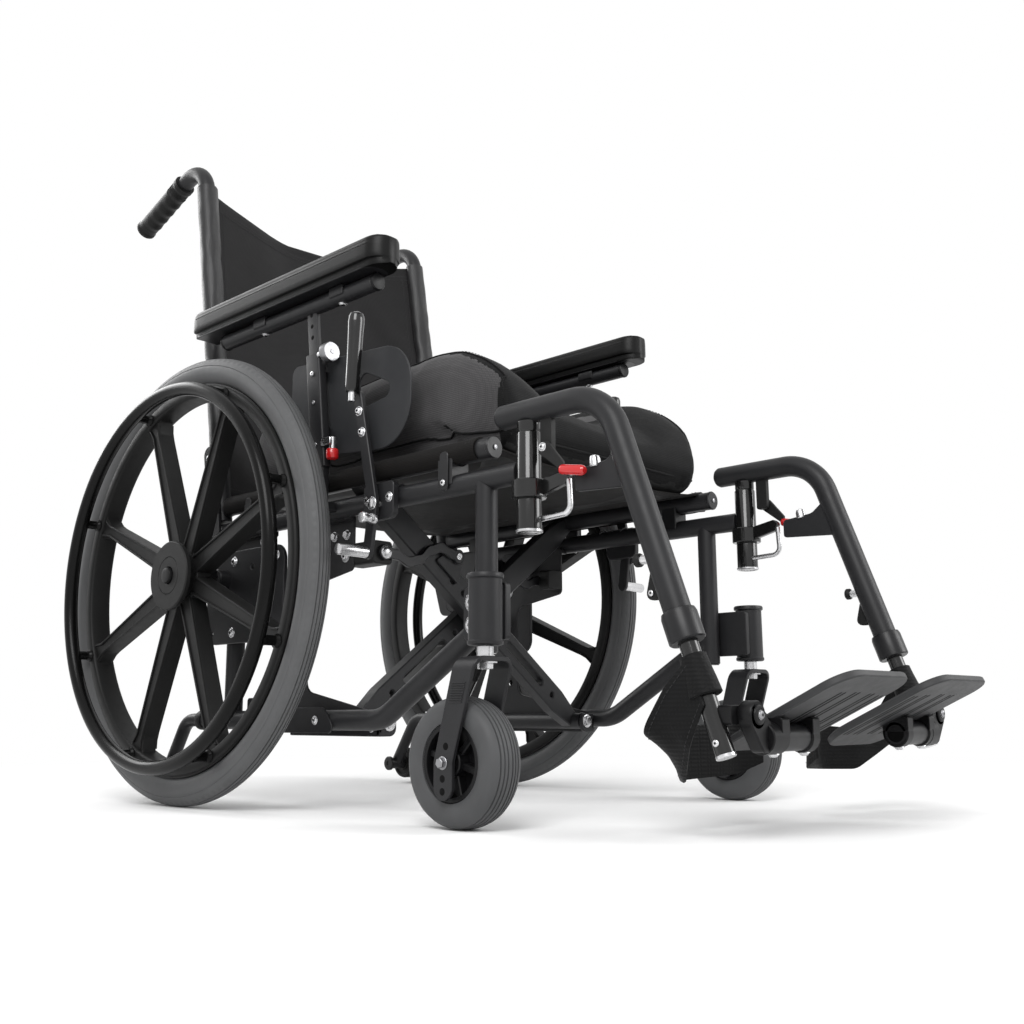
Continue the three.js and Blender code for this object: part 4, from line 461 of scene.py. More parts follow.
def addTube(piece, finish, path, radius, sides=28, edge=0.8):
    # A round bar along a path, its ends broken by a small chamfer
    path = [Vector(point) for point in path]
    first = path[0] + (path[1] - path[0]).normalized() * edge
    last = path[-1] + (path[-2] - path[-1]).normalized() * edge
    full = [path[0], first, *path[1:-1], last, path[-1]]
    count = len(full)
    inner = ring(radius - edge, sides)
    outer = ring(radius, sides)
    sweep(piece, finish, full, lambda share: inner if round(share * (count - 1)) in (0, count - 1) else outer)


def addRod(piece, finish, start, end, radius, sides=24):
    addTube(piece, finish, [start, end], radius, sides, edge=min(0.6, radius / 3))


def alongX(piece, finish, y, z, low, high, radius, sides=24):
    addRod(piece, finish, (low, y, z), (high, y, z), radius, sides)


def alongY(piece, finish, x, z, low, high, radius, sides=24):
    addRod(piece, finish, (x, low, z), (x, high, z), radius, sides)


def addTurned(piece, finish, profile, start, end, segments=48, closed=False):
    # A profile of [radius, along] points turned about the line from start towards end
    start, run = Vector(start), (Vector(end) - Vector(start)).normalized()
    across = run.orthogonal().normalized()
    if abs(run.x) < 0.9:
        across = (Vector((1, 0, 0)) - run * run.x).normalized()
    up = run.cross(across)
    loops = []
    for radius, along in profile:
        radius = max(radius, 0.01)
        loops.append([start + run * along + (across * math.cos(math.tau * k / segments)
                      + up * math.sin(math.tau * k / segments)) * radius for k in range(segments)])
    addLoops(piece, finish, loops, joined=closed)


def inset(outline, distance):
    # The outline drawn in by a small distance
    count = len(outline)
    area = sum(outline[i][0] * outline[(i + 1) % count][1] - outline[(i + 1) % count][0] * outline[i][1]
               for i in range(count))
    side = 1 if area > 0 else -1
    moved = []
    for i in range(count):
        here = Vector(outline[i][:2])
        before = (here - Vector(outline[i - 1][:2])).normalized()
        after = (Vector(outline[(i + 1) % count][:2]) - here).normalized()
        normal = Vector((-before.y, before.x)) + Vector((-after.y, after.x))
        if normal.length < 1e-6:
            normal = Vector((-before.y, before.x))
        normal.normalize()
        stretch = max(normal.dot(Vector((-before.y, before.x))), 0.35)
        moved.append(here + normal * (side * distance / stretch))
    return moved


def addPlate(piece, finish, outline, low, high, axis="x", holes=(), edge=0.6):
    # A flat plate with holes and broken edges. The outline lies across the axis: y, z for x, and x, z for y,
    # and x, y for z.
    low, high = min(low, high), max(low, high)
    edge = min(edge, (high - low) / 3)

    def lift(point, along):
        if axis == "x":
            return (along, point[0], point[1])
        if axis == "y":
            return (point[0], along, point[1])
        return (point[0], point[1], along)

    rims = [[Vector(point[:2]) for point in rim] for rim in (outline, *holes)]
    drawn = []
    for number, rim in enumerate(rims):
        small = inset(rim, edge if number == 0 else -edge)
        drawn.append(small)
        addLoops(piece, finish, [[lift(p, low) for p in small], [lift(p, low + edge) for p in rim],
                                 [lift(p, high - edge) for p in rim], [lift(p, high) for p in small]],
                                 capped=False)
    flat = [[Vector((p.x, p.y, 0)) for p in rim] for rim in drawn]
    corners = [point for rim in flat for point in rim]
    triangles = geometry.tessellate_polygon(flat)
    for along, turned in ((low, True), (high, False)):
        addShape(piece, finish, [lift(p, along) for p in corners],
                 [triangle[::-1] if turned else triangle for triangle in triangles])


def rounded(corners, radii, steps=6):
    flat = roundPath([(point[0], point[1], 0) for point in corners], radii, steps, closed=True)
    return [(point.x, point.y) for point in flat]


def panel(lowU, highU, lowV, highV, radii, steps=4):
    # A rectangle with rounded corners, from its lower left one onwards
    return rounded([(lowU, lowV), (highU, lowV), (highU, highV), (lowU, highV)], radii, steps)


def circle(centre, radius, sides=20):
    return [(centre[0] + u, centre[1] + v) for u, v in ring(radius, sides)]


def slotHole(start, end, half, steps=8):
    # A long hole with round ends, from one end's centre to the other's
    start, end = Vector(start), Vector(end)
    run = (end - start).normalized()
    turn = math.atan2(run.y, run.x)
    points = []
    for centre, first in ((end, turn - math.pi / 2), (start, turn + math.pi / 2)):
        for k in range(steps + 1):
            angle = first + math.pi * k / steps
            points.append((centre.x + half * math.cos(angle), centre.y + half * math.sin(angle)))
    return points


def addBox(piece, finish, low, high, radius=2.0, axis="x", edge=0.6):
    order = {"x": (1, 2, 0), "y": (0, 2, 1), "z": (0, 1, 2)}[axis]
    a, b, c = order
    radius = min(radius, (high[a] - low[a]) / 2.2, (high[b] - low[b]) / 2.2)
    outline = panel(low[a], high[a], low[b], high[b], radius, 3)
    addPlate(piece, finish, outline, low[c], high[c], axis, edge=edge)


towards = {"out": (1, 0, 0), "in": (-1, 0, 0), "front": (0, -1, 0), "rear": (0, 1, 0), "up": (0, 0, 1),
           "down": (0, 0, -1)}


def addBolt(piece, place, facing, radius=5.0, height=3.5, kind="dome", finish="zinc", washer=True):
    # A bolt head that stands on a surface and faces a named way or along a vector
    place, run = Vector(place), Vector(towards.get(facing, facing)).normalized()
    end = place + run
    if washer:
        addTurned(piece, finish, [(radius * 0.5, -0.5), (radius * 1.25, -0.5), (radius * 1.3, 0.3),
                                  (radius * 1.2, 0.8), (radius * 0.5, 0.8)], place, end, 24)
    if kind == "dome":
        addTurned(piece, finish, [(radius, 0.4), (radius, height * 0.3), (radius * 0.9, height * 0.65),
                                  (radius * 0.68, height * 0.92), (radius * 0.5, height),
                                  (radius * 0.42, height * 0.96)], place, end, 24)
        # The socket's shallow dish is coloured near black: painted shade inside the socket
        addTurned(piece, "darkHole", [(radius * 0.43, height * 0.90), (radius * 0.36, height * 0.99),
                                      (0, height * 0.97)], place, end, 6)
    elif kind == "hex":
        addTurned(piece, finish, [(radius, 0.2), (radius, height * 0.85), (radius * 0.86, height),
                                  (0, height)], place, end, 6)
    else:
        addTurned(piece, finish, [(radius, 0.4), (radius, height * 0.85), (radius * 0.9, height),
                                  (radius * 0.55, height), (radius * 0.5, height * 0.5), (0, height * 0.5)],
                  place, end, 24)


def addStitches(piece, path, spacing=5.5, length=3.8, radius=0.42):
    # A row of thread stitches lying along a path of points
    path = [Vector(point) for point in path]
    walked, nextAt = 0.0, 0.0
    for here, there in zip(path, path[1:]):
        run = there - here
        if run.length < 1e-6:
            continue
        while nextAt <= walked + run.length:
            start = here + run.normalized() * (nextAt - walked)
            stop = start + run.normalized() * length
            addTube(piece, "thread", [start, start.lerp(stop, 0.5), stop], radius, 6, edge=radius * 0.7)
            nextAt += spacing
        walked += run.length


def meshOf(piece, mirror=False):
    mesh = bpy.data.meshes.new("piece")
    points = [metres((-point.x if mirror else point.x, point.y, point.z)) for point in piece["points"]]
    faces = [face[::-1] if mirror else face for face in piece["faces"]]
    mesh.from_pydata(points, [], faces)
    names = list(dict.fromkeys(piece["finish"]))
    for name in names:
        mesh.materials.append(finishes[name])
    mesh.polygons.foreach_set("material_index", [names.index(name) for name in piece["finish"]])
    work = bmesh.new()
    work.from_mesh(mesh)
    bmesh.ops.remove_doubles(work, verts=work.verts, dist=1e-5)
    bmesh.ops.recalc_face_normals(work, faces=work.faces)
    work.to_mesh(mesh)
    work.free()
    mesh.shade_smooth()
    mesh.set_sharp_from_angle(angle=math.radians(38))
    return mesh


def show(name, piece, body, nodes, mirror=False):
    # Puts a piece in the scene on its body, in place of its CAD nodes
    holder = bpy.data.objects.new(name, meshOf(piece, mirror))
    bpy.context.collection.objects.link(holder)
    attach(holder, body)
    if nodes:
        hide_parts(*nodes)
    return holder


def drawn(draw, *given):
    # A new piece, filled by its drawing function
    piece = newPiece()
    draw(piece, *given)
    return piece


def bothSides(name, draw, body, node):
    # Draws a piece once for the left and mirrors it for the right
    made = []
    for side in ("left", "right"):
        piece = drawn(draw, side)
        made.append(show(f"{side}{name}", piece, f"{body}_{side}", [f"{side}_{node}"], side == "right"))
    print(f"{name} made")
    return made


def onX(piece, finish, profile, plane, y, z, segments=64, closed=False):
    addTurned(piece, finish, profile, (plane, y, z), (plane + 1, y, z), segments, closed)


def onY(piece, finish, profile, x, y, z, segments=36, closed=False, run=1):
    addTurned(piece, finish, profile, (x, y, z), (x, y + run, z), segments, closed)


def onZ(piece, finish, profile, x, y, z, segments=40, closed=False):
    addTurned(piece, finish, profile, (x, y, z), (x, y, z + 1), segments, closed)


def doubled(half):
    # A profile and its mirror image on the other side of the middle plane
    return half + [(radius, -along) for radius, along in reversed(half)]


def oblong(halfU, halfV, cut=0.8):
    # A rectangle with cut corners, for sweeping
    return [(-halfU + cut, -halfV), (halfU - cut, -halfV), (halfU, -halfV + cut), (halfU, halfV - cut),
            (halfU - cut, halfV), (-halfU + cut, halfV), (-halfU, halfV - cut), (-halfU, -halfV + cut)]


# Rear wheels

wheel = {"segments": 176, "spokes": 8, "webHalf": 10.5, "webRadius": 258, "windowRadius": 251.4,
         "spokeDepth": 13, "hubEnd": (38, 12.6), "waist": (231, 8), "rimEnd": (249.4, 16), "waistRound": 12,
         "corner": 5, "lipWidth": 2.8, "lipEnd": 246, "lipFoot": 8, "handrim": (254, 44), "handrimBar": 9.5,
         "axle": 6}


def wheelSpot(along, turn, across=0.0):
    return (along * math.cos(turn) - across * math.sin(turn),
            along * math.sin(turn) + across * math.cos(turn) + chair["wheelRadius"])


def drawTyre(piece, side):
    # Grey tyre with two grooves and fine treads
    half = [(268.4, 10), (271, 12.4), (275, 14.9), (280, 16.9), (284, 17.5), (288, 17.3), (291.4, 16.5),
            (292.2, 15.6), (293, 16), (296.6, 14.5), (299.6, 12.4), (302, 9.8), (303.4, 7.6), (302.2, 7.2),
            (302.2, 6.2), (304, 5.8), (304.7, 3.2), (303.5, 2.9), (303.5, 2.0), (305, 1.7)]
    onX(piece, "tyreRubber", doubled(half), chair["wheelPlane"], 0, chair["wheelRadius"], wheel["segments"],
        True)


def spokeTurns():
    return [math.tau * (k + 0.5) / wheel["spokes"] for k in range(wheel["spokes"])]


def drawMagWheel(piece, side):
    # Eight deep spokes with raised lips along their edges, and a flat cap on the hub
    plane, height = chair["wheelPlane"], chair["wheelRadius"]
    (near, nearHalf), (waist, waistHalf), (far, farHalf) = wheel["hubEnd"], wheel["waist"], wheel["rimEnd"]
    windows = []
    for turn in spokeTurns():
        following = turn + math.tau / wheel["spokes"]
        middle = (turn + following) / 2
        shape = [(near, nearHalf), (waist, waistHalf), (far, farHalf)]
        edge = [wheelSpot(along, turn, across) for along, across in shape]
        edge += [wheelSpot(wheel["windowRadius"], middle + 0.08 * k) for k in range(-3, 4)]
        edge += [wheelSpot(along, following, -across) for along, across in reversed(shape)]
        ends = [0.6, wheel["waistRound"], wheel["corner"]]
        windows.append(rounded(edge, ends + [0] * 7 + ends[::-1], 6))
    rim = [wheelSpot(wheel["webRadius"], math.tau * k / 144) for k in range(144)]
    addPlate(piece, "mattPlastic", rim, plane - wheel["webHalf"], plane + wheel["webHalf"], "x", windows,
             edge=1.2)
    half = [(250.4, 14.6), (252, 15.8), (263, 16), (265, 14.8), (266, 13), (268, 12.8)]
    onX(piece, "mattPlastic", doubled([(far, 12)] + half), plane, 0, height, wheel["segments"], True)
    hub = [(0, -26), (30, -26), (32.6, -24.6), (33, -22), (33, 21.4), (34, 22.8), (45.4, 23), (47, 24.4),
           (47, 29.4), (45.4, 31), (26, 31.2), (25.4, 30.2), (24.6, 31.2), (13, 31.2), (11.6, 30),
           (11.4, 23.4), (0, 23.4)]
    onX(piece, "mattPlastic", hub, plane, 0, height, 64)
    for turn in spokeTurns():
        for edge in (-1, 1):
            outer = [(near - 2, nearHalf), (waist - 8, waistHalf + 0.2), (waist + 4, waistHalf + 1),
                     (wheel["lipEnd"], 13)]
            inner = [(wheel["lipEnd"], 10), (waist, waistHalf - wheel["lipWidth"]),
                     (near - 2, nearHalf - wheel["lipWidth"])]
            strip = [wheelSpot(along, turn, edge * (across - 0.1)) for along, across in outer + inner]
            foot, top = wheel["lipFoot"], wheel["spokeDepth"]
            for low, high in ((foot, top), (-top, -foot)):
                addPlate(piece, "mattPlastic", strip, plane + low, plane + high, edge=0.7)
    alongX(piece, "zinc", 0, height, 197, plane - 24, wheel["axle"])
    addTurned(piece, "zinc", [(9, 0), (9, 5), (8, 6), (0, 6)], (plane - 26, 0, height),
              (plane - 40, 0, height), 6)


def drawButton(piece, side):
    # Quick release button and its plunger in the hollow axle
    outer = chair["wheelPlane"] + 36
    profile = [(0, -7), (10.8, -7), (10.8, -2.2), (10, -0.8), (8, -0.2), (4, 0), (0, 0)]
    onX(piece, "hubPlastic", profile, outer, 0, chair["wheelRadius"], 32)
    alongX(piece, "zinc", 0, chair["wheelRadius"], 203, outer - 6, 3)


def drawHandrim(piece, side):
    # Gloss hoop on eight stubs that stand on the rim
    plane, height = chair["wheelPlane"], chair["wheelRadius"]
    radius, outward = wheel["handrim"]
    bar = [(radius + u, outward + v) for u, v in ring(wheel["handrimBar"], 28)]
    onX(piece, "satinBlack", bar, plane, 0, height, wheel["segments"], True)
    stub = [(0, 16.2), (8.4, 16.2), (8.8, 17), (8.2, 19), (6.6, 20.6), (6.2, 23), (6.2, 34), (7, 38), (7, 40)]
    for turn in spokeTurns():
        y, z = wheelSpot(radius + 3, turn)
        onX(piece, "satinBlack", stub, plane, y, z, 20)


bothSides("Tyre", drawTyre, "wheel", "tyre")
bothSides("MagWheel", drawMagWheel, "wheel", "mag_wheel")
bothSides("AxleButton", drawButton, "button", "axle_button")
bothSides("Handrim", drawHandrim, "wheel", "handrim")

# Casters

caster = {"plane": 265, "axleY": -500.7, "axleZ": 69, "stemY": -533, "crown": 176, "legMiddle": 28,
          "legHalf": 2.6, "legFoot": 31, "legHalfY": 14, "spokes": 6, "ribs": 9, "ribGap": 2.5}


def drawCasterWheel(piece, side):
    # Grooved tyre, plastic rim and hub, and six spokes
    plane, y, z = caster["plane"], caster["axleY"], caster["axleZ"]
    tread = [(41, 17), (42, 20.4), (46, 22.4), (53, 23), (59.5, 22.6), (64, 19.8), (66.6, 15.6), (67.2, 13.8),
             (66, 13.3), (66, 12.2), (67.7, 11.7), (68.4, 8.9), (67.1, 8.4), (67.1, 7.3), (68.6, 6.8),
             (69, 4.2), (67.6, 3.7), (67.6, 2.6), (69, 2.1)]
    rim = [(35.4, 16), (36.4, 19.2), (40.6, 19.6), (42, 18.4)]
    hub = [(5, 20), (13.6, 20), (14.8, 18.8), (15.4, 5), (36.4, 4)]
    for finish, half, segments in (("casterRubber", tread, 96), ("hubPlastic", rim, 96),
                                   ("hubPlastic", hub, 64)):
        onX(piece, finish, doubled(half), plane, y, z, segments, True)
    for k in range(caster["spokes"]):
        turn = math.tau * (k + 0.25) / caster["spokes"]
        start = (plane, y + 12 * math.cos(turn), z + 12 * math.sin(turn))
        end = (plane, y + 38 * math.cos(turn), z + 38 * math.sin(turn))
        sweep(piece, "hubPlastic", [start, end], oblong(15, 3.6, 1.2))


def forkMiddle(z):
    # Where the middle of a fork leg lies, and half its width, at a height
    share = min(max((z - 70) / 109, 0), 1)
    wide = caster["legHalfY"]
    half = wide + share * 1.5
    foot = z - caster["legFoot"]
    if foot < wide:
        half = math.sqrt(max(wide ** 2 - (wide - foot) ** 2, 16))
    return caster["axleY"] + share * (caster["stemY"] - caster["axleY"]), half


def drawFork(piece, side):
    # Bent flat bar with four axle heights, its axle, nuts, crown nut, spacer and stem
    plane, reach, crown, thick = caster["plane"], caster["legMiddle"], caster["crown"], caster["legHalf"]
    rise = [caster["legFoot"] + step for step in (0, 0.8, 2, 4, 7, 11, 16, 25, 39, 59, 79, 99)]
    shoulder = 150
    path = [(-reach, 0, z) for z in rise]
    path += [tuple(p) for p in roundPath([(-reach, 0, shoulder), (-reach, 0, crown), (reach, 0, crown),
                                          (reach, 0, shoulder)], [0, 13, 13, 0], 8)]
    path += [(reach, 0, z) for z in reversed(rise)]
    section = ((-1, -0.94), (-0.7, -1), (0.7, -1), (1, -0.94), (1, 0.94), (0.7, 1), (-0.7, 1), (-1, 0.94))
    loops = []
    for i, (x, _, z) in enumerate(path):
        ahead, behind = path[min(i + 1, len(path) - 1)], path[max(i - 1, 0)]
        run = Vector((ahead[0] - behind[0], ahead[2] - behind[2])).normalized()
        across = Vector((-run.y, run.x)) * thick
        centre, half = forkMiddle(z)
        loops.append([(plane + x + across.x * u, centre + half * v, z + across.y * u) for u, v in section])
    addLoops(piece, "charcoal", loops)
    outer = plane + reach + thick
    for k in range(caster["ribs"]):
        z = shoulder + 1 - caster["ribGap"] * k
        centre = forkMiddle(z)[0]
        addBox(piece, "charcoal", (outer - 0.5, centre - 10, z - 0.7), (outer + 1.1, centre + 10, z + 0.7),
               0.6, edge=0.3)
    # The three spare axle holes are near black discs on both faces, not openings: painted shade
    for z in (86, 53, 40):
        centre = forkMiddle(z)[0]
        for face, x in ((1, outer), (-1, plane - reach - thick)):
            onX(piece, "darkHole", [(0, face * 0.25), (3.3, face * 0.2), (3.9, 0)], x, centre, z, 20)
    y, z = caster["axleY"], caster["axleZ"]
    for face in (-1, 1):
        foot = plane + face * (reach + thick)
        addBolt(piece, (foot, y, z), (face, 0, 0), 5.4, 5.5, "hex", "dullSteel")
        onX(piece, "zinc", [(7.2, face * 20.3), (7.2, face * 25.4)], plane, y, z, 24)
    alongX(piece, "zinc", y, z, plane - 26, plane + 26, 4.6)
    at = (plane, caster["stemY"])
    addTurned(piece, "zinc", [(0, 0), (13, 0), (13, 1.6), (8.6, 1.8), (8.6, 7), (7.8, 7.8), (5, 8)],
              (*at, 173.2), (*at, 160), 6)
    addRod(piece, "zinc", (*at, 178.4), (*at, 189.6), 9)
    addRod(piece, "zinc", (*at, 189), (*at, 255), 6)


def drawHousing(piece, side):
    # Stem housing with its clamped flange and bolts
    at = (caster["plane"], caster["stemY"])
    profile = [(7, 0), (17.4, 0), (19.2, 1.2), (19.4, 4.2), (18.2, 5.6), (18, 70.4), (18.8, 71), (20, 71.6),
               (20.2, 75), (19, 76.8), (14, 77), (0, 77)]
    onZ(piece, "charcoal", profile, *at, 190, 56)
    face = chair["baseFace"]
    addPlate(piece, "charcoal", panel(-545, -480, 197, 258, [4, 9, 9, 4], 5), face - 8.6, face, edge=1.0)
    addBox(piece, "charcoal", (face - 6, -542, 199), (face + 12, -524, 256))
    for y, z, radius, height in ((-494, 215, 8.4, 4.4), (-494, 240, 8.4, 4.4), (-513, 206, 3.2, 2.2),
                                 (-513, 249, 3.2, 2.2)):
        addBolt(piece, (face, y, z), "out", radius, height, washer=radius > 4)


bothSides("CasterWheel", drawCasterWheel, "caster_wheel", "caster_wheel")
bothSides("CasterFork", drawFork, "caster", "caster_fork")
bothSides("CasterHousing", drawHousing, "base", "caster_housing")

# Base frame, anti-tip arms and gas springs

base = {"bend": 70, "plateCorner": 22, "slot": (-104, 240, 320)}


def cradle(centreX, centreZ, halfX, low, high, radius):
    # A block's outline with a round bed in its top
    drop = math.asin((centreZ - high) / radius)
    bed = [(centreX + radius * math.cos(-drop - (math.pi - 2 * drop) * k / 16),
            centreZ + radius * math.sin(-drop - (math.pi - 2 * drop) * k / 16)) for k in range(17)]
    return [(centreX - halfX, low), (centreX + halfX, low), (centreX + halfX, high), *bed,
            (centreX - halfX, high)]


def drawBaseFrame(piece, side):
    # Front post, lower tube, rear post, axle sleeve, slotted plate and shoe
    x, tube, height, low = chair["framePlane"], chair["tube"], chair["wheelRadius"], chair["lowerTube"]
    post, face = chair["postY"], chair["baseFace"]
    # The post's top, the loop without a height, is cut to the round of the side frame's tube
    loops = []
    for z, radius in ((186, tube - 0.8), (186.8, tube), (345, tube), (0, tube)):
        loop = []
        for k in range(40):
            u, v = radius * math.cos(math.tau * k / 40), radius * math.sin(math.tau * k / 40)
            loop.append((x + u, post + v, z or chair["topTube"] - math.sqrt(chair["bed"] ** 2 - u * u)))
        loops.append(loop)
    addLoops(piece, "charcoal", loops)
    addRod(piece, "glossBlack", (x, post, 184.4), (x, post, 188), tube - 1.4)
    addTube(piece, "charcoal", roundPath([(x, post, 219), (x, -320, low), (x, 78, low)], base["bend"], 12),
            tube)
    onY(piece, "mattPlastic", [(13.6, 0), (14, 1), (14, 13), (13.4, 14), (9.8, 14)], x, 65, low, 40)
    addTube(piece, "charcoal", [(x, 0, 116), (x, 0, 330)], tube)
    addRod(piece, "glossBlack", (x, 0, 329), (x, 0, 332), tube - 1)
    onX(piece, "charcoal", [(6.6, 0), (13.6, 0), (15, 1.4), (15, 63.6), (13.6, 65), (6.6, 65)], 197, 0,
        height, 40, True)
    plate = panel(-140, 45, 216, 345, base["plateCorner"], 8)
    slotY, slotLow, slotHigh = base["slot"]
    holes = [slotHole((slotY, slotLow + 5), (slotY, slotHigh - 5), 5)]
    holes += [circle((y, z), 4.2) for y, z in ((-66, 320), (-66, 242), (30, 328), (30, 232))]
    addPlate(piece, "charcoal", plate, face - 6, face, "x", holes, edge=0.9)
    addBox(piece, "charcoal", (228, -9, 234), (face - 5, 9, 300))
    for y, z in ((-22, 330), (-22, 231), (-122, 330)):
        addBolt(piece, (face, y, z), "out", 5.4, 3.4)
    addBox(piece, "charcoal", (197, -39, 104), (216, -21, 142), 4)
    shoe = rounded([(-250, 96), (-124, 96), (-124, 128), (-222, 128)], [8, 4, 4, 10], 4)
    addPlate(piece, "charcoal", shoe, x + 11.4, x + 14.4, edge=0.8)
    for y in (-206, -140):
        addBolt(piece, (x + 14.4, y, low), "out", 4.4, 2.8)
    gasX, gasY, gasZ = chair["gasFoot"]
    alongX(piece, "zinc", gasY, gasZ, gasX - 5, gasX + 12, 3)
    addBolt(piece, (gasX - 4, gasY, gasZ), "in", 4.6, 3, "hex")


def drawAntiTipTube(piece, side):
    # Bent tube in the lower tube's rear end, with the small wheel's axle and cap
    x, low, radius = chair["framePlane"], chair["lowerTube"], 9.4
    y, z = chair["antiTip"]
    addTube(piece, "charcoal", roundPath([(x, 20, low), (x, 118, low), (x, y, z)], 30, 10), radius - 0.1)
    alongX(piece, "charcoal", y, z, x - 14, x + 14, radius, 32)
    alongX(piece, "zinc", y, z, x + 12, x + 36, 3.6)
    addBolt(piece, (x + 34.6, y, z), "out", 6, 3.6, "hex")
    cap = [(0, 0), (11, 0), (12, -1), (12, -4), (10.6, -5.4), (4, -5.6), (3.6, -4.4), (0, -4.4)]
    onX(piece, "moulded", cap, x - 14, y, z, 32)
    addBolt(piece, (x, 88, low + radius), "up", 3.6, 2, washer=False)


def drawAntiTipWheel(piece, side):
    # Small wheel with a recessed web
    half = [(4, 10), (12, 10), (13, 7.5), (19.4, 7), (20.4, 9.4), (23.4, 9.6), (25.2, 7.6), (26, 4.4),
            (26, 1.2)]
    onX(piece, "mattPlastic", doubled(half), chair["framePlane"] + 24.3, *chair["antiTip"], 56, True)


gas = {"barrel": 160, "start": 14, "eye": [(8.6, -4), (9, -3), (9, 3), (8.6, 4)]}


def gasSpot(along):
    foot, head = Vector(chair["gasFoot"]), Vector(chair["gasHead"])
    return foot + (head - foot).normalized() * along


def drawGasBarrel(piece, side):
    # Gas spring's barrel, its lower eye and a clamp ring
    start, end = gas["start"], gas["start"] + gas["barrel"]
    profile = [(5, 0), (5, start - 6), (8.4, start - 4), (9, start - 2), (9, end - 4), (8.2, end - 1),
               (5, end), (3.9, end)]
    addTurned(piece, "glossBlack", profile, gasSpot(0), gasSpot(100), 36)
    onX(piece, "mattPlastic", [(3.4, -4), *gas["eye"], (3.4, 4)], *chair["gasFoot"], 32, True)
    addRod(piece, "mattPlastic", gasSpot(start + 40), gasSpot(start + 62), 9.5)


def drawGasRod(piece, side):
    # Gas spring's rod with its upper eye
    length = (Vector(chair["gasHead"]) - Vector(chair["gasFoot"])).length
    addRod(piece, "zinc", gasSpot(70), gasSpot(length), 3.6)
    addRod(piece, "mattPlastic", gasSpot(length - 18), gasSpot(length - 4), 5.4)
    onX(piece, "mattPlastic", [(0.5, -4), *gas["eye"], (0.5, 4)], *chair["gasHead"], 32)


bothSides("BaseFrame", drawBaseFrame, "base", "base_frame")
bothSides("AntiTipTube", drawAntiTipTube, "base", "anti_tip_tube")
bothSides("AntiTipWheel", drawAntiTipWheel, "anti_tip", "anti_tip_wheel")
bothSides("GasBarrel", drawGasBarrel, "gas_barrel", "gas_barrel")
bothSides("GasRod", drawGasRod, "gas_rod", "gas_rod")

# Side frame

seat = {"socketTop": 588, "socketFoot": 432, "armPlane": 254, "armFootY": -222, "armLean": 0.12, "knobZ": 584,
        "saddles": (-440, -40), "tiltHalf": 62, "hangerFront": -296, "hangerRear": -112, "hangerLow": 92,
        "hangerStep": 119.5, "backBar": 15, "barFace": 242, "latchGap": 22.6}


def armY(z):
    return seat["armFootY"] + seat["armLean"] * (z - 462)


def leanY(z):
    return 44 + chair["lean"] * (z - chair["topTube"])


def leaning(shapes):
    # Loops of an upright piece that leans back with the armrest, from pairs of a height and an outline
    return [[(seat["armPlane"] + u, armY(z) + v, z) for u, v in outline] for z, outline in shapes]


def drawSideFrame(piece, side):
    # Top tube with everything fixed to it
    x, height = chair["framePlane"], chair["topTube"]
    addTube(piece, "charcoal", [(x, -548, height), (x, 62, height)], chair["tube"])
    alongY(piece, "glossBlack", x, height, 61, 65, chair["tube"] - 1.2)
    addReceiver(piece, x, chair["receiverY"])
    addSaddles(piece, x)
    addTiltPlate(piece)
    addHangerPlate(piece)
    addBackBar(piece, x)
    addLinkBlock(piece, side)
    addSocket(piece)


def addReceiver(piece, x, y):
    # The legrest's socket with its collar, and the black arm and zinc hook below the release lever
    receiver = [(9.8, 0), (13, 0), (14, 1), (14, 110.6), (13, 112), (9.8, 112)]
    onZ(piece, "glossBlack", receiver, x, y, 312, 40, True)
    collar = [(14, 0), (18.6, 0), (19.4, 1), (19.4, 19), (18.6, 20), (14, 20)]
    onZ(piece, "glossBlack", collar, x, y, 350, 44)
    arm = rounded([(-576, 352), (-576, 370), (-608, 376), (-616, 370), (-608, 360)], [3, 3, 5, 4, 4], 4)
    addPlate(piece, "glossBlack", arm, x - 10, x - 2, edge=1.2)
    hook = roundPath([(x - 6, -612, 366), (x - 6, -614, 329), (x - 6, -572, 327)], 10, 6)
    addTube(piece, "zinc", hook, 3.2, 18)
    onZ(piece, "zinc", [(13.8, -1.6), (14.8, -1.1), (14.8, 1.1), (13.8, 1.6)], x, y, 314, 40)


def addSaddles(piece, x):
    # The two beds that the seat rail rests in, each with its clip
    for y in seat["saddles"]:
        saddle = cradle(x, chair["rail"], 14, chair["topTube"], 411.4, chair["bed"])
        addPlate(piece, "moulded", saddle, y - 12, y + 12, "y", edge=1)
        addPlate(piece, "moulded", panel(y - 7, y + 7, 374, 420, 5), x + 13, x + 16, edge=0.8)
        addBolt(piece, (x + 16, y, 383), "out", 4, 2.6, washer=False)


def addTiltPlate(piece):
    # The plate that turns on the axle sleeve, its root under the top tube and two bolts
    face, half, top = chair["plateFace"], seat["tiltHalf"], chair["topTube"] + 6
    tilt = rounded([(-half, top), (-30, 284), (30, 284), (half, top)], [6, 14, 14, 6], 5)
    addPlate(piece, "charcoal", tilt, face - 9, face, "x", [circle((0, chair["wheelRadius"]), 15.3, 32)],
             edge=1)
    addBox(piece, "charcoal", (face - 8, 2 - half, 367), (face + 14, half - 2, 375))
    for y in (-34, 34):
        addBolt(piece, (face, y, 362), "out", 5, 3)


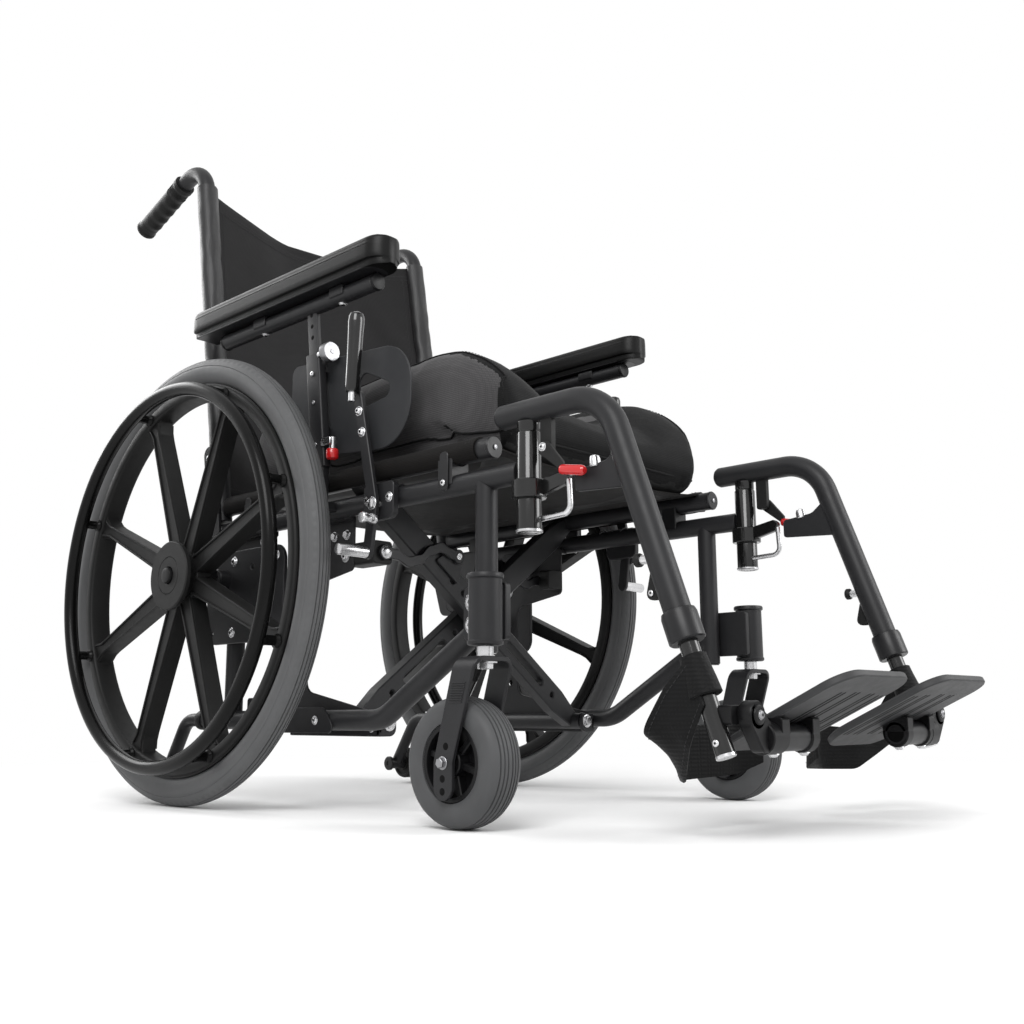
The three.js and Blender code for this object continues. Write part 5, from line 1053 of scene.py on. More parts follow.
def addHangerPlate(piece):
    # The plate that carries the brace bar's foot between two ears
    face, front, rear, low = chair["plateFace"], seat["hangerFront"], seat["hangerRear"], seat["hangerLow"]
    step = seat["hangerStep"]
    footX, footZ = chair["braceFoot"]
    strutY = rear - 16
    hanger = rounded([(front, low), (rear, low), (rear, 376), (-238, 376), (-238, 303), (strutY - 16, 287),
                      (strutY - 16, 150), (front, step)], [5, 5, 5, 5, 8, 14, 16, 10], 5)
    holes = [circle((strutY, z), 5) for z in (168, 262)] + [slotHole((strutY, 196), (strutY, 232), 6)]
    addPlate(piece, "charcoal", hanger, face - 3.8, face, "x", holes, edge=0.8)
    addBox(piece, "charcoal", (face - 3, -236, 367), (face + 14, rear - 2, 375))
    for start in (front, rear - 6):
        ear = panel(footX - 11.5, face, low, step, [10, 2, 2, 10])
        addPlate(piece, "charcoal", ear, start, start + 6, "y", edge=0.8)
    alongY(piece, "zinc", footX, footZ, front - 3, rear + 3, 5.4)
    addBolt(piece, (footX, front, footZ), "front", 7.4, 5, "hex")
    addBolt(piece, (footX, rear, footZ), "rear", 7.4, 5, "hex")
    for y in (-224, -198, -132):
        addBolt(piece, (face, y, 350), "out", 5.4, 4, "hex")
    addBolt(piece, (face, -222, 322), "out", 6.4, 4.2)
    for y in (-280, -128):
        addBolt(piece, (face, y, 104), "out", 5.4, 3.6)


def addBackBar(piece, x):
    # The bar that holds the cane's foot, with its two bolts, and the gas spring's upper boss
    half, face, low, high = seat["backBar"], seat["barFace"], chair["topTube"] - 6, 512
    bar = rounded([(leanY(low) - half, low), (leanY(low) + half, low), (leanY(high) + half, high),
                   (leanY(high) - half, high)], [3, 3, 13, 13], 7)
    addPlate(piece, "charcoal", bar, x + chair["tube"] + 0.3, face, edge=0.9)
    for z in (424, 492):
        addBolt(piece, (face, leanY(z), z), "out", 6, 3.4)
    alongX(piece, "charcoal", 44, chair["topTube"], x, face - 1, 7)
    onX(piece, "zinc", [(0, 0), (6, 0), (6, 3), (0, 3)], face - 0.4, leanY(400), 400, 24)
    gasX, gasY, gasZ = chair["gasHead"]
    alongX(piece, "charcoal", gasY, gasZ, gasX + 4.3, chair["plateFace"] - 1, 9)


def addLinkBlock(piece, side):
    # The block and pin that hold the folding link, nearer the front on the right
    pinX, pinZ = chair["linkFoot"]
    face = chair["plateFace"] - 1
    low, high, pin, facing = (-238, -217, (-217, -211.4), "rear") if side == "left" else (
        -277, -222, (-282.6, -277), "front")
    addPlate(piece, "mattPlastic", panel(pinX - 15, face, pinZ - 15, pinZ + 15, 5), low, high, "y", edge=1.2)
    alongY(piece, "zinc", pinX, pinZ, *pin, 4)
    addBolt(piece, (pinX, pin[1] if side == "left" else pin[0], pinZ), facing, 6.6, 4, "hex")


def latchY():
    # The armrest latch stands in front of the socket's foot
    return armY(seat["socketFoot"]) - seat["latchGap"]


def addSocket(piece):
    # The armrest's socket with its foot, bolts, clamp knob and the zinc ear that holds the latch
    x, foot = seat["armPlane"], seat["armFootY"]
    low, high = seat["socketFoot"], seat["socketTop"]
    shell, bore = panel(-6.5, 6.5, -14, 14, 3), panel(-4, 4, -10.5, 10.5, 1.6)
    loops = leaning([(low, bore), (low, inset(shell, 0.8)), (low + 0.8, shell), (high - 0.8, shell),
                     (high, inset(shell, 0.8)), (high, bore), (low + 5, bore)])
    addLoops(piece, "charcoal", loops, capped=False, joined=True)
    addBox(piece, "charcoal", (x - 6.2, foot - 14, 375), (x + 6.2, foot + 12, 436), 3, "z")
    bridge = panel(foot - 14, foot + 14, 375, 387.5, 3)
    addPlate(piece, "charcoal", bridge, chair["framePlane"], x + 4, edge=0.8)
    for z in (404, 380.5):
        addBolt(piece, (x + 6.2, foot, z), "out", 5, 3.2)
    for z, radius in ((462, 2.6), (520, 2.6), (560, 3.4)):
        addBolt(piece, (x + 6.5, armY(z), z), "out", radius, 1.6, "plain", washer=False)
    face = armY(seat["knobZ"]) - 14
    stem = [(0, -1), (6, -1), (6, 6), (5, 7), (5, 11), (5, 11.4)]
    knob = [(5, 11.4), (12, 11.4), (13, 12.4), (13, 22.4), (12.2, 23.6), (3, 23.7), (2.6, 24.4), (0, 24.6)]
    for finish, profile in (("zinc", stem), ("dullSteel", knob)):
        addTurned(piece, finish, profile, (x + 2, face, seat["knobZ"]), (x + 2, face - 9, seat["knobZ"]), 40)
    addBox(piece, "zinc", (x + 5.3, latchY() - 5, 458), (x + 8.3, foot - 12, 468))
    alongX(piece, "zinc", latchY(), 463, x - 5.3, x + 6, 2)


cane = {"lowY": 45, "lowZ": 396, "cornerZ": 1006, "gripY": 333, "gripZ": 942, "gripFrom": 206, "round": 46}


def caneY(z):
    return cane["lowY"] + chair["lean"] * (z - cane["lowZ"])


def gripLine(y):
    # A point on the middle line of the grip's straight stretch
    drop = (cane["cornerZ"] - cane["gripZ"]) / (cane["gripY"] - caneY(cane["cornerZ"]))
    return Vector((chair["framePlane"], y, cane["cornerZ"] - drop * (y - caneY(cane["cornerZ"]))))


def caneLine():
    x = chair["framePlane"]
    return roundPath([(x, cane["lowY"], cane["lowZ"]), (x, caneY(cane["cornerZ"]), cane["cornerZ"]),
                      gripLine(cane["gripY"] - 6.3)], cane["round"], 14)


def drawCane(piece, side):
    # Back tube, bent over at the top to carry the grip
    addTube(piece, "charcoal", caneLine(), chair["tube"])


def drawGrip(piece, side):
    # A moulded grip with finger steps below and a soft flange in front
    start, end = gripLine(cane["gripFrom"]), gripLine(cane["gripY"])
    run = (end - start).normalized()
    across = Vector((1, 0, 0))
    up = across.cross(run)
    length = (end - start).length
    loops = []
    for k in range(67):
        along = length * k / 66
        finger = (along - 22) / 20
        wave = 0.0
        if 0 < finger < 4.6:
            wave = abs((finger % 1) - 0.5) * 2
        radius = 15.4 + (1.5 if along < 9 else 0) + (1.2 if along > length - 10 else 0)
        if along > length - 4:
            radius -= (along - length + 4) ** 2 * 0.35
        loop = []
        for j in range(36):
            turn = math.tau * j / 36
            below = max(0.0, -math.sin(turn))
            reach = radius + below ** 2 * wave * 3.0
            spot = across * math.cos(turn) + up * math.sin(turn)
            loop.append(start + run * along + spot * reach)
        loops.append(loop)
    addLoops(piece, "gripRubber", loops)
    for k in range(9):
        along = 14 + k * 2.1
        addTurned(piece, "gripRubber", [(15.2, -0.5), (15.9, 0), (15.2, 0.5)], start + run * along, end, 36)


bothSides("SideFrame", drawSideFrame, "side", "side_frame")
bothSides("BackCane", drawCane, "side", "back_cane")
bothSides("PushGrip", drawGrip, "side", "push_grip")

# Armrests, guards and locks

armrest = {"tube": 11, "tubeZ": 656, "front": -332, "rear": 8, "postLow": 462, "padFront": -366,
           "padRear": 57, "padLow": 667.3, "padTop": 706, "padHalf": 25, "padMiddle": 259, "trayHalf": 20}


def drawArmFrame(piece, side):
    # Armrest's post and tube, its end caps, height holes and pad blocks
    x, height = seat["armPlane"], armrest["tubeZ"]
    post, low, edge = panel(-3.5, 3.5, -10, 10, 1.6), armrest["postLow"], 0.8
    small = inset(post, edge)
    addLoops(piece, "charcoal", leaning([(low, small), (low + edge, post), (height - edge, post),
                                         (height, small)]))
    addTube(piece, "charcoal", [(x, armrest["front"], height), (x, armrest["rear"], height)], armrest["tube"])
    cap = [(11, -3), (11.6, -2), (11.6, 0.6), (10.4, 2.2), (6, 3.0), (0, 3.2)]
    for end, run in ((armrest["front"], -1), (armrest["rear"], 1)):
        onY(piece, "hubPlastic", cap, x, end, height, 32, run=run)
    # The height holes are near black discs on the post, not openings: painted shade
    for z in (612, 628, 644):
        onX(piece, "darkHole", [(0, 0.22), (2.6, 0.2), (3.1, 0)], x + 3.5, armY(z), z, 18)
    for y in (-262, -90):
        addBox(piece, "moulded", (x - 12.4, y - 14, height - 4), (x + 12.4, y + 14, 667), 3, "y")
        addBolt(piece, (x, y, height - armrest["tube"]), "down", 4.4, 2.6)


# Each station: share of the length, of the width, of the height, and its lift
padStations = [(0, 0.22, 0.84, 0.06), (0.0024, 0.30, 0.91, 0.03), (0.007, 0.475, 0.96, 0.015),
               (0.014, 0.65, 0.985, 0), (0.024, 0.80, 1, 0), (0.036, 0.917, 1, 0), (0.048, 0.98, 1, 0),
               (0.06, 1, 1, 0), (0.1, 1, 1, 0), (0.3, 1, 1, 0), (0.5, 1, 1, 0), (0.7, 1, 1, 0),
               (0.9, 1, 1, 0), (0.965, 1, 1, 0), (0.985, 0.975, 0.97, 0), (0.995, 0.93, 0.9, 0),
               (1, 0.84, 0.78, 0.03)]
padSection = [(0.78, 0.0), (0.80, 0.03), (0.81, 0.10), (0.82, 0.21), (0.97, 0.235), (1.0, 0.28),
              (1.005, 0.42), (1.0, 0.62), (0.995, 0.77), (0.98, 0.79), (0.985, 0.82), (0.97, 0.885),
              (0.92, 0.945), (0.84, 0.98), (0.7, 0.995), (0.5, 1.0), (0.2, 1.005)]


def padSpot(along, across, up):
    for first, second in zip(padStations, padStations[1:]):
        if along <= second[0]:
            break
    share = (along - first[0]) / (second[0] - first[0])
    wide, tall, lift = [first[k] + share * (second[k] - first[k]) for k in (1, 2, 3)]
    height = armrest["padTop"] - armrest["padLow"]
    return (armrest["padMiddle"] + across * armrest["padHalf"] * wide,
            armrest["padFront"] + along * (armrest["padRear"] - armrest["padFront"]),
            armrest["padLow"] + height * (lift + up * tall))


def drawArmPad(piece, side):
    # Long foam pad with a stitched groove along each side and a tray below
    section = padSection + [(-across, up) for across, up in reversed(padSection)]
    extra = {0.2, 0.25, 0.35, 0.4, 0.45, 0.55, 0.6, 0.65, 0.75, 0.8}
    stations = sorted({station[0] for station in padStations} | extra)
    loops = [[padSpot(along, across, up) for across, up in section] for along in stations]
    addLoops(piece, "padSkin", loops)
    for face in (-1, 1):
        line = [padSpot(0.05 + 0.93 * k / 60, face * 1.0, 0.72) for k in range(61)]
        addStitches(piece, [(x + face * 0.15, y, z) for x, y, z in line], 5.2, 3.6, 0.42)
    middle, half = armrest["padMiddle"], armrest["trayHalf"]
    tray = panel(middle - half, middle + half, -346, 52, [18, 18, 5, 5], 6)
    addPlate(piece, "moulded", tray, 667.1, 673, "z", edge=0.8)


def drawArmLatch(piece, side):
    # Red tipped height latch below the socket
    x, y = seat["armPlane"], latchY()
    addRod(piece, "zinc", (x, y, 451), (x, y, 469), 4.4)
    profile = [(0, 0), (5, 0.3), (7.4, 1.8), (8, 4), (8, 12), (7, 14), (4.4, 14.6), (0, 14.6)]
    onZ(piece, "redDip", profile, x, y, 439, 28)


def drawGuard(piece, side):
    # Clothing guard with its window, spacers and bolts
    outline = rounded([(-140, 457), (-140, 588), (-384, 570), (-384, 437)], [12, 12, 56, 56], 12)
    window = rounded([(-286, 500), (-286, 552), (-372, 512)], 11, 8)
    inner = guard["plane"]
    addPlate(piece, "charcoalPanel", outline, inner, inner + guard["thick"], holes=[window], edge=0.9)
    for z in (482, 560):
        y = armY(z)
        onX(piece, "mattPlastic", [(0, 0), (7, 0), (6.2, 4.8), (0, 4.8)], inner + 2.9, y, z, 24)
        addBolt(piece, (inner, y, z), "in", 5, 2.6)


guard = {"plane": 239.3, "thick": 3}
lockShape = {"pivot": (-331, 371), "knee": (-298, 512), "shoe": (-322, 312), "gripTop": (-304, 620),
             "gripPlane": 264, "leverPlane": 250, "leverHalf": 8, "bolts": (-351, -311)}


def drawLockBracket(piece, side):
    # Wheel lock's clamp plate with straps round the tube
    x, face = chair["framePlane"], chair["baseFace"]
    y, z = lockShape["pivot"]
    outline = panel(-359, -303, 352, 398, [10, 10, 6, 6], 5)
    addPlate(piece, "charcoal", outline, x + chair["tube"] + 0.3, face, edge=0.9)
    for boltY in lockShape["bolts"]:
        addBolt(piece, (face, boltY, 378), "out", 5, 3)
        strap = roundPath([(x + 13.6, boltY, 390), (x, boltY, 396.4), (x - 13.6, boltY, 390)], 6, 4)
        addTube(piece, "charcoal", strap, 1.4, 10)
    alongX(piece, "zinc", y, z, face - 1, face + 11, 5)
    addBolt(piece, (face + 10, y, z), "out", 6.4, 3.6, "hex")


def drawLockLever(piece, side):
    # Lock lever with its grip, shoe and spool
    pivot, knee, shoe = [Vector(lockShape[key]) for key in ("pivot", "knee", "shoe")]
    low, grip = lockShape["leverPlane"], lockShape["gripPlane"]
    for far, high in ((knee, low + 6), (shoe, low + 5.6)):
        addPlate(piece, "charcoal", slotHole(pivot, far, lockShape["leverHalf"], 10), low, high, "x",
                 edge=0.9)
    addRod(piece, "zinc", (grip, knee.x, knee.y - 8), (grip, knee.x - 1, knee.y + 20), 4.6)
    for share in (0.66, 0.86):
        addBolt(piece, (low + 6, *pivot.lerp(knee, share)), "out", 5, 4)
    start, end = Vector((grip, knee.x, knee.y + 4)), Vector((grip, *lockShape["gripTop"]))
    length = (end - start).length
    profile = [(0, 0), (7.6, 0.4), (8.6, 2), (9, 8), (9.2, length * 0.4), (10, length * 0.75),
               (10.6, length - 14), (10.2, length - 7), (8.4, length - 2.4), (5, length - 0.5), (0, length)]
    addTurned(piece, "glossBlack", profile, start, end, 36)
    y, z = shoe
    onX(piece, "zinc", [(0, 0), (6.2, 0), (7, 0.8), (7, 42), (6.4, 43.4), (5, 44), (0, 44.2)], low + 5.8, y,
        z, 36)
    spool = [(0, 0), (6, 0), (6.4, 0.6), (6.4, 6), (5.4, 7.4), (5.4, 13.6), (6.4, 15), (6.4, 20.4),
             (5.6, 21.4), (0, 21.6)]
    onX(piece, "zinc", spool, low + 5.8, -337, 351, 32)


bothSides("ArmFrame", drawArmFrame, "arm", "arm_frame")
for pad in bothSides("ArmPad", drawArmPad, "arm", "arm_pad"):
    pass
bothSides("ArmLatch", drawArmLatch, "arm_latch", "arm_latch")
bothSides("SkirtGuard", drawGuard, "side", "skirt_guard")
bothSides("LockBracket", drawLockBracket, "side", "lock_bracket")
bothSides("LockLever", drawLockLever, "lock", "lock_lever")

# Front rigging

rigging = {"bend": 62, "tube": 14, "top": 448, "foot": 80, "kneeY": -668, "footY": -798, "collarLow": 185,
           "collarHigh": 215, "extension": 9.5, "release": (-588, 402)}


def legSpot(z, behind=0.0, above=0.0):
    # A point on the leg tube's slanting middle line at a height, moved towards the rear and up
    share = (rigging["top"] - z) / (rigging["top"] - rigging["foot"])
    y = rigging["kneeY"] + share * (rigging["footY"] - rigging["kneeY"])
    return Vector((chair["framePlane"], y + behind, z + above))


def drawHanger(piece, side):
    # Bent leg tube with its pin, collar, release block, lug, tab and stub
    x, top, pinY = chair["framePlane"], rigging["top"], chair["receiverY"]
    body = roundPath([(x, -521, top), (x, rigging["kneeY"], top), legSpot(190)], rigging["bend"], 16)
    addTube(piece, "charcoal", body, rigging["tube"])
    cap = [(14, -1), (13.6, 2), (12, 5), (8.6, 7.4), (4, 8.6), (0, 9)]
    onY(piece, "charcoal", cap, x, -523, top)
    low, high = legSpot(rigging["collarLow"]), legSpot(rigging["collarHigh"])
    length = (high - low).length
    collar = [(10, 0), (16.6, 0), (18, 1.4), (18, length - 5), (16.8, length - 1), (14.2, length)]
    addTurned(piece, "moulded", collar, low, high, 44, True)
    addBolt(piece, legSpot(200, 17.4, 4), (0, 1, 0.35), 4.6, 3)
    onZ(piece, "blackChrome", [(0, 0), (8.2, 0), (9.4, 1.6), (9.4, 101)], x, pinY, 322, 32)
    onZ(piece, "glossBlack", [(9, 0), (12.2, 0), (13, 1.3), (13, 11.7), (11, 12.7)], x, pinY, 424.3, 36)
    y, z = rigging["release"]
    addBox(piece, "mattPlastic", (x - 4, y - 8, z - 8), (x + 4, y + 8, 441), 3)
    alongX(piece, "zinc", y, z, x + 3, x + 11, 3)
    lug = rounded([(-622, 350), (-622, 373), (-664, 378), (-696, 404), (-708, 340), (-690, 346)],
                  [4, 5, 14, 2, 2, 8], 5)
    addPlate(piece, "charcoal", lug, x - 9, x - 4, edge=0.9)
    domed = [(0, 0), (5.2, 0), (6.2, 1), (6.2, 8), (5, 11.4), (2.6, 12.8), (0, 13)]
    addTurned(piece, "zinc", domed, (x - 6.5, -648, 373), (x - 6.5, -646, 392), 24)
    _, y, z = legSpot(236, 12)
    tab = rounded([(y, z - 9), (y + 17, z - 9), (y + 10, z + 20), (y, z + 20)], [3, 7, 3, 2], 4)
    addPlate(piece, "mattPlastic", tab, x - 2.5, x + 2.5, edge=0.8)
    addBolt(piece, (x + 2.5, y + 9, z - 2), "out", 3.4, 2, washer=False)
    addRod(piece, "zinc", legSpot(268, 8), legSpot(268, 26), 4.6)
    head = [(0, 0), (6.4, 0), (7, 1), (7, 5), (6, 6), (0, 6)]
    addTurned(piece, "mattPlastic", head, legSpot(268, 23), legSpot(268, 40), 24)


def drawLegLatch(piece, side):
    # Red tipped release lever on the outer side of its block
    x = chair["framePlane"] + 4.3
    outline = rounded([(-582, 396), (-582, 408), (-594, 408), (-616, 382), (-616, 370)], [3, 5, 5, 3, 3], 4)
    addPlate(piece, "mattPlastic", outline, x, x + 5, edge=0.8)
    capsule = [(0, 0), (3.4, 0.3), (5, 1.6), (5.6, 4), (5.6, 29), (5, 32), (3.4, 34), (0, 34.6)]
    addTurned(piece, "redDip", capsule, (x + 2.5, -611, 374), (x + 2.5, -644, 368), 28)
    addBolt(piece, (x + 5, *rigging["release"]), "out", 4, 2.4)


def drawExtension(piece, side):
    # Lower leg tube with its holes and the footplate's hinge
    addRod(piece, "glossBlack", legSpot(80), legSpot(310), rigging["extension"])
    addRod(piece, "zinc", legSpot(78.6), legSpot(82), rigging["extension"] + 0.3)
    addBolt(piece, legSpot(92) + Vector((9.4, 0, 0)), "out", 3.4, 2, washer=False)
    # The two holes are near black dishes on the tube, not openings: painted shade
    for z in (168, 148):
        hole = [(0, 0.3), (2.8, 0.2), (3.2, -0.4)]
        addTurned(piece, "darkHole", hole, legSpot(z, 9.4), legSpot(z, 20), 16)
    x, z = chair["footHinge"]
    addBox(piece, "hubPlastic", (x - 9, -806, z - 9), (226, -780, z + 9), 3, "y")
    alongY(piece, "zinc", x, z, -824, -790, 5)
    disc = [(0, 0), (9, 0), (9.4, 0.8), (8.8, 2.0), (6.6, 2.6), (0, 2.6)]
    onY(piece, "hubPlastic", disc, x, -821.3, z, run=-1)
    addBolt(piece, (x, -823.8, z), "front", 4.2, 2.2, finish="dullSteel", washer=False)


# Each slot's place across the plate and where it starts
footplate = {"inner": 29, "outer": 172, "front": -894, "frontZ": 158, "pitch": 26, "length": 160, "thick": 7,
             "slots": ((38, 38.5), (46, 38.5), (62, 35), (70, 35), (96, 33), (104, 33), (124, 34), (132, 34)),
             "slotEnd": 128, "slotHalf": 1.5, "sleeveY": -812, "sleeve": 13}


def plateSpot(x, along, up):
    pitch = math.radians(footplate["pitch"])
    return (x, footplate["front"] + along * math.cos(pitch) + up * math.sin(pitch),
            footplate["frontZ"] - along * math.sin(pitch) + up * math.cos(pitch))


def drawFootplate(piece, side):
    # The board is drawn flat and then pitched; its sleeve, clamps and hinge cheek are drawn in place
    board = newPiece()
    thick = footplate["thick"]
    outline = panel(footplate["inner"], footplate["outer"], 0, footplate["length"], [30, 30, 22, 42], 10)
    addPlate(board, "composite", outline, -thick, 0, "z", edge=1.3)
    # Each slot is a near black sheet on both faces of the board, not an opening: painted shade inside the
    # slots
    for x, start in footplate["slots"]:
        groove = slotHole((x, start), (x, footplate["slotEnd"]), footplate["slotHalf"])
        for low, high in ((-thick - 0.15, -thick + 0.5), (-0.5, 0.15)):
            addPlate(board, "darkHole", groove, low, high, "z", edge=0.05)
    hoop = [(p.x, p.y, 0.1) for p in inset(outline, 3.2)]
    sweep(board, "composite", hoop, ring(0.9, 8), joined=True)
    for y in (20, 138):
        for x in (60, 84, 108, 132):
            addTube(board, "composite", [(x - 7, y, 0.1), (x, y, 0.5), (x + 7, y, 0.1)], 0.9, 8)
    piece["points"] = [Vector(plateSpot(p.x, p.y, p.z)) for p in board["points"]]
    piece["faces"], piece["finish"] = board["faces"], board["finish"]
    sleeveY, radius = footplate["sleeveY"], footplate["sleeve"]
    along = (sleeveY - footplate["front"]) / math.cos(math.radians(footplate["pitch"]))
    under = plateSpot(0, along, -thick)[2]
    z = under - 16
    sleeve = [(9.6, 0), (radius - 1, 0), (radius, 1), (radius, 85), (radius - 1, 86), (9.6, 86)]
    onX(piece, "moulded", sleeve, 100, sleeveY, z, 44, True)
    # A near black lining and end inside the sleeve's bore: painted shade
    onX(piece, "darkHole", [(9.7, 0), (9.7, 40), (0, 40)], 100.5, sleeveY, z, 36)
    for x in (100, 158):
        addBox(piece, "hubPlastic", (x, sleeveY - 15, z + 2), (x + 14, sleeveY + 15, under + 3), 3)
        onX(piece, "hubPlastic", [(13.1, 0), (15, 0.8), (15, 13.2), (13.1, 14)], x, sleeveY, z, 40, True)
        addBolt(piece, (x + 7, sleeveY, z - 14.8), "down", 4.6, 3.2)
    onX(piece, "hubPlastic", [(9, 0), (14.6, 0), (15.4, 1), (15.4, 20), (14.4, 21), (9, 21)], 166, sleeveY, z,
        40, True)
    cheek = rounded([(191, 119), (204, 130), (217, 121), (216, 108), (196, z - 13), (172, z - 14),
                     (172, z + 8)], [10, 12, 12, 12, 10, 5, 5], 6)
    front = -821
    addPlate(piece, "hubPlastic", cheek, front, front + 14.7, "y", edge=1.6)
    hingeX, hingeZ = chair["footHinge"]
    eye = [(5.4, 0), (12.4, 0), (13.2, 1.4), (13.2, 13.4), (12.4, 14.7), (5.4, 14.7)]
    onY(piece, "hubPlastic", eye, hingeX, front, hingeZ, 40, True)


# The strap's upper and lower edge from the tube round the fold behind the heel to its inner end
heel = {"thick": 3.2, "bend": 22, "steps": 66, "bow": 1.8,
        "upper": ((235, -769, 171), (239, -742, 142), (240, -712, 97), (150, -694, 104), (72, -716, 112),
                  (58, -738, 124)),
        "lower": ((236, -784, 126), (222, -758, 88), (182, -724, 52), (150, -696, 52), (72, -716, 56),
                  (58, -738, 68))}


def evenly(path, count):
    # Points at equal distances along a line
    lengths = [0.0]
    for here, there in zip(path, path[1:]):
        lengths.append(lengths[-1] + (there - here).length)
    points, k = [], 0
    for i in range(count + 1):
        at = lengths[-1] * i / count
        while k < len(path) - 2 and lengths[k + 1] < at:
            k += 1
        points.append(path[k].lerp(path[k + 1], (at - lengths[k]) / (lengths[k + 1] - lengths[k])))
    return points


def drawHeelLoop(piece, side):
    # Woven band from the leg tube round behind the heel, stitched along both edges
    low, high = legSpot(134), legSpot(172)
    length = (high - low).length
    sleeve = [(9.9, 0.6), (15.2, 0), (16.4, 1), (15.4, length * 0.35), (13.8, length * 0.7),
              (13, length - 0.8), (11.6, length), (9.9, length - 0.4)]
    addTurned(piece, "webbing", sleeve, low, high, 48, True)
    edges = [evenly(roundPath(heel[key], heel["bend"], 8), heel["steps"]) for key in ("upper", "lower")]
    loops, seams = [], [[], []]
    for i, (above, below) in enumerate(zip(*edges)):
        ahead, behind = min(i + 1, heel["steps"]), max(i - 1, 0)
        run = edges[0][ahead] + edges[1][ahead] - edges[0][behind] - edges[1][behind]
        across = run.cross(above - below).normalized()
        bow = heel["bow"] * math.sin(i * 0.2)
        outward, inward = [], []
        for v, half in ((0, 0.3), (0.03, 0.5), (0.25, 0.5), (0.5, 0.5), (0.75, 0.5), (0.97, 0.5), (1, 0.3)):
            spot = below.lerp(above, v) + across * (bow * math.sin(math.pi * v))
            outward.append(spot + across * (half * heel["thick"]))
            inward.append(spot - across * (half * heel["thick"]))
        loops.append(outward + inward[::-1])
        if 0 < i < heel["steps"]:
            seams[0].append(outward[1].lerp(outward[2], 0.35))
            seams[1].append(outward[5].lerp(outward[4], 0.35))
    addLoops(piece, "webbing", loops)
    for line in seams:
        addStitches(piece, line, 6, 4, 0.4)


bothSides("LegrestHanger", drawHanger, "legrest", "legrest_hanger")
bothSides("LegrestLatch", drawLegLatch, "legrest_latch", "legrest_latch")
bothSides("LegrestExtension", drawExtension, "extension", "legrest_extension")
bothSides("Footplate", drawFootplate, "footplate", "footplate")
heelLoops = bothSides("HeelLoop", drawHeelLoop, "extension", "heel_loop")
for loop, anchor in zip(heelLoops, (chair["framePlane"], -chair["framePlane"])):
    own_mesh(loop)

# Folding brace and its links

braceShape = {"half": 18, "end": 11, "taper": 48, "thickHalf": 10, "bars": {"left": -231, "right": -263},
              "linkHead": (334.6, 28.4), "boltZ": 250.615}


def braceSpot(along, up):
    # A point on the bar, measured along it from its foot, which stands on the chair's other side
    footX, footZ = chair["braceFoot"]
    run = Vector((chair["framePlane"] + footX, chair["rail"] - footZ)).normalized()
    return (-footX + along * run.x - up * run.y, footZ + along * run.y + up * run.x)


def drawBrace(piece, side):
    # Crossed bar with its foot tube, the seat rail and the plate for the link
    middle, thick = braceShape["bars"][side], braceShape["thickHalf"]
    facing = 1 if side == "left" else -1
    x, rail = chair["framePlane"], chair["rail"]
    footX, footZ = chair["braceFoot"]
    length = math.hypot(x + footX, rail - footZ)
    half, end, taper = braceShape["half"], braceShape["end"], braceShape["taper"]
    outline = [(0, -end), (taper, -half), (length - taper, -half), (length, -end), (length, end),
               (length - taper, half), (taper, half), (0, end)]
    outline = rounded([braceSpot(*spot) for spot in outline], [4, 30, 30, 4, 4, 30, 30, 4], 5)
    crossing = footX / ((x + footX) / length)
    holes = [slotHole(braceSpot(95, 0), braceSpot(178, 0), 5), circle(braceSpot(crossing, 0), 6.2, 24)]
    holes += [circle(braceSpot(along, 0), 4) for along in (64, 205, 292, 318)]
    addPlate(piece, "charcoal", outline, middle - thick, middle + thick, "y", holes, edge=1.6)
    alongY(piece, "charcoal", -footX, footZ, -289, -119, 11.5, 40)
    washer = [(6, 0), (12.2, 0), (12.4, 1), (12.4, 2), (12.2, 3), (6, 3)]
    for y in (-289, -122):
        onY(piece, "moulded", washer, -footX, y, footZ)
    addTube(piece, "charcoal", [(x, -506, rail), (x, 30, rail)], chair["tube"])
    plug = [(12.7, -2), (13.3, -1.4), (13.3, 0.6), (12, 2), (0, 2.4)]
    for y, run in ((-506, -1), (30, 1)):
        onY(piece, "moulded", plug, x, y, rail, run=run)
        addBolt(piece, (x, y + run * 2.2, rail), (0, run, 0), 3.2, 1.6, "hex", "dullSteel", washer=False)
    face = middle + thick * facing
    along, up = braceShape["linkHead"]
    plate = [(along - 26, 0), (along + 26, 0), (along + 10, up + 10), (along - 10, up + 10)]
    plate = rounded([braceSpot(*spot) for spot in plate], [3, 3, 9, 9], 5)
    addPlate(piece, "charcoal", plate, face - facing, face + 4 * facing, "y", edge=0.8)
    headX, headZ = braceSpot(along, up)
    addBolt(piece, (headX, face + 4 * facing, headZ), (0, facing, 0), 5.6, 6, "hex")


def drawLink(piece, side):
    # Wavy flat link between the side's block and the bar's plate
    low, high = (-216.7, -211.7) if side == "left" else (-282.3, -277.3)
    anchor = Vector(braceSpot(*braceShape["linkHead"]))
    start = Vector(chair["linkFoot"])
    run = anchor - start
    normal = Vector((-run.y, run.x)).normalized()
    waves = [(0, 0), (0.14, 0.2), (0.3, 1), (0.45, 0.7), (0.6, -0.5), (0.75, -1), (0.9, -0.3), (1, 0)]
    middle = []
    for k in range(41):
        share = k / 40
        for first, second in zip(waves, waves[1:]):
            if share <= second[0]:
                break
        t = (share - first[0]) / (second[0] - first[0])
        t = t * t * (3 - 2 * t)
        middle.append(start + run * share + normal * (11 * (first[1] + (second[1] - first[1]) * t)))
    upper = [point + normal * 7 for point in middle]
    lower = [point - normal * 7 for point in middle]
    addPlate(piece, "moulded", [tuple(p) for p in upper + lower[::-1]], low, high, "y", edge=1)
    eye = [(4.3, 0), (9.4, 0), (10, 0.8), (10, 4.4), (9.4, 5.2), (4.3, 5.2)]
    for x, z in (start, anchor):
        onY(piece, "moulded", eye, x, low - 0.1, z, closed=True)


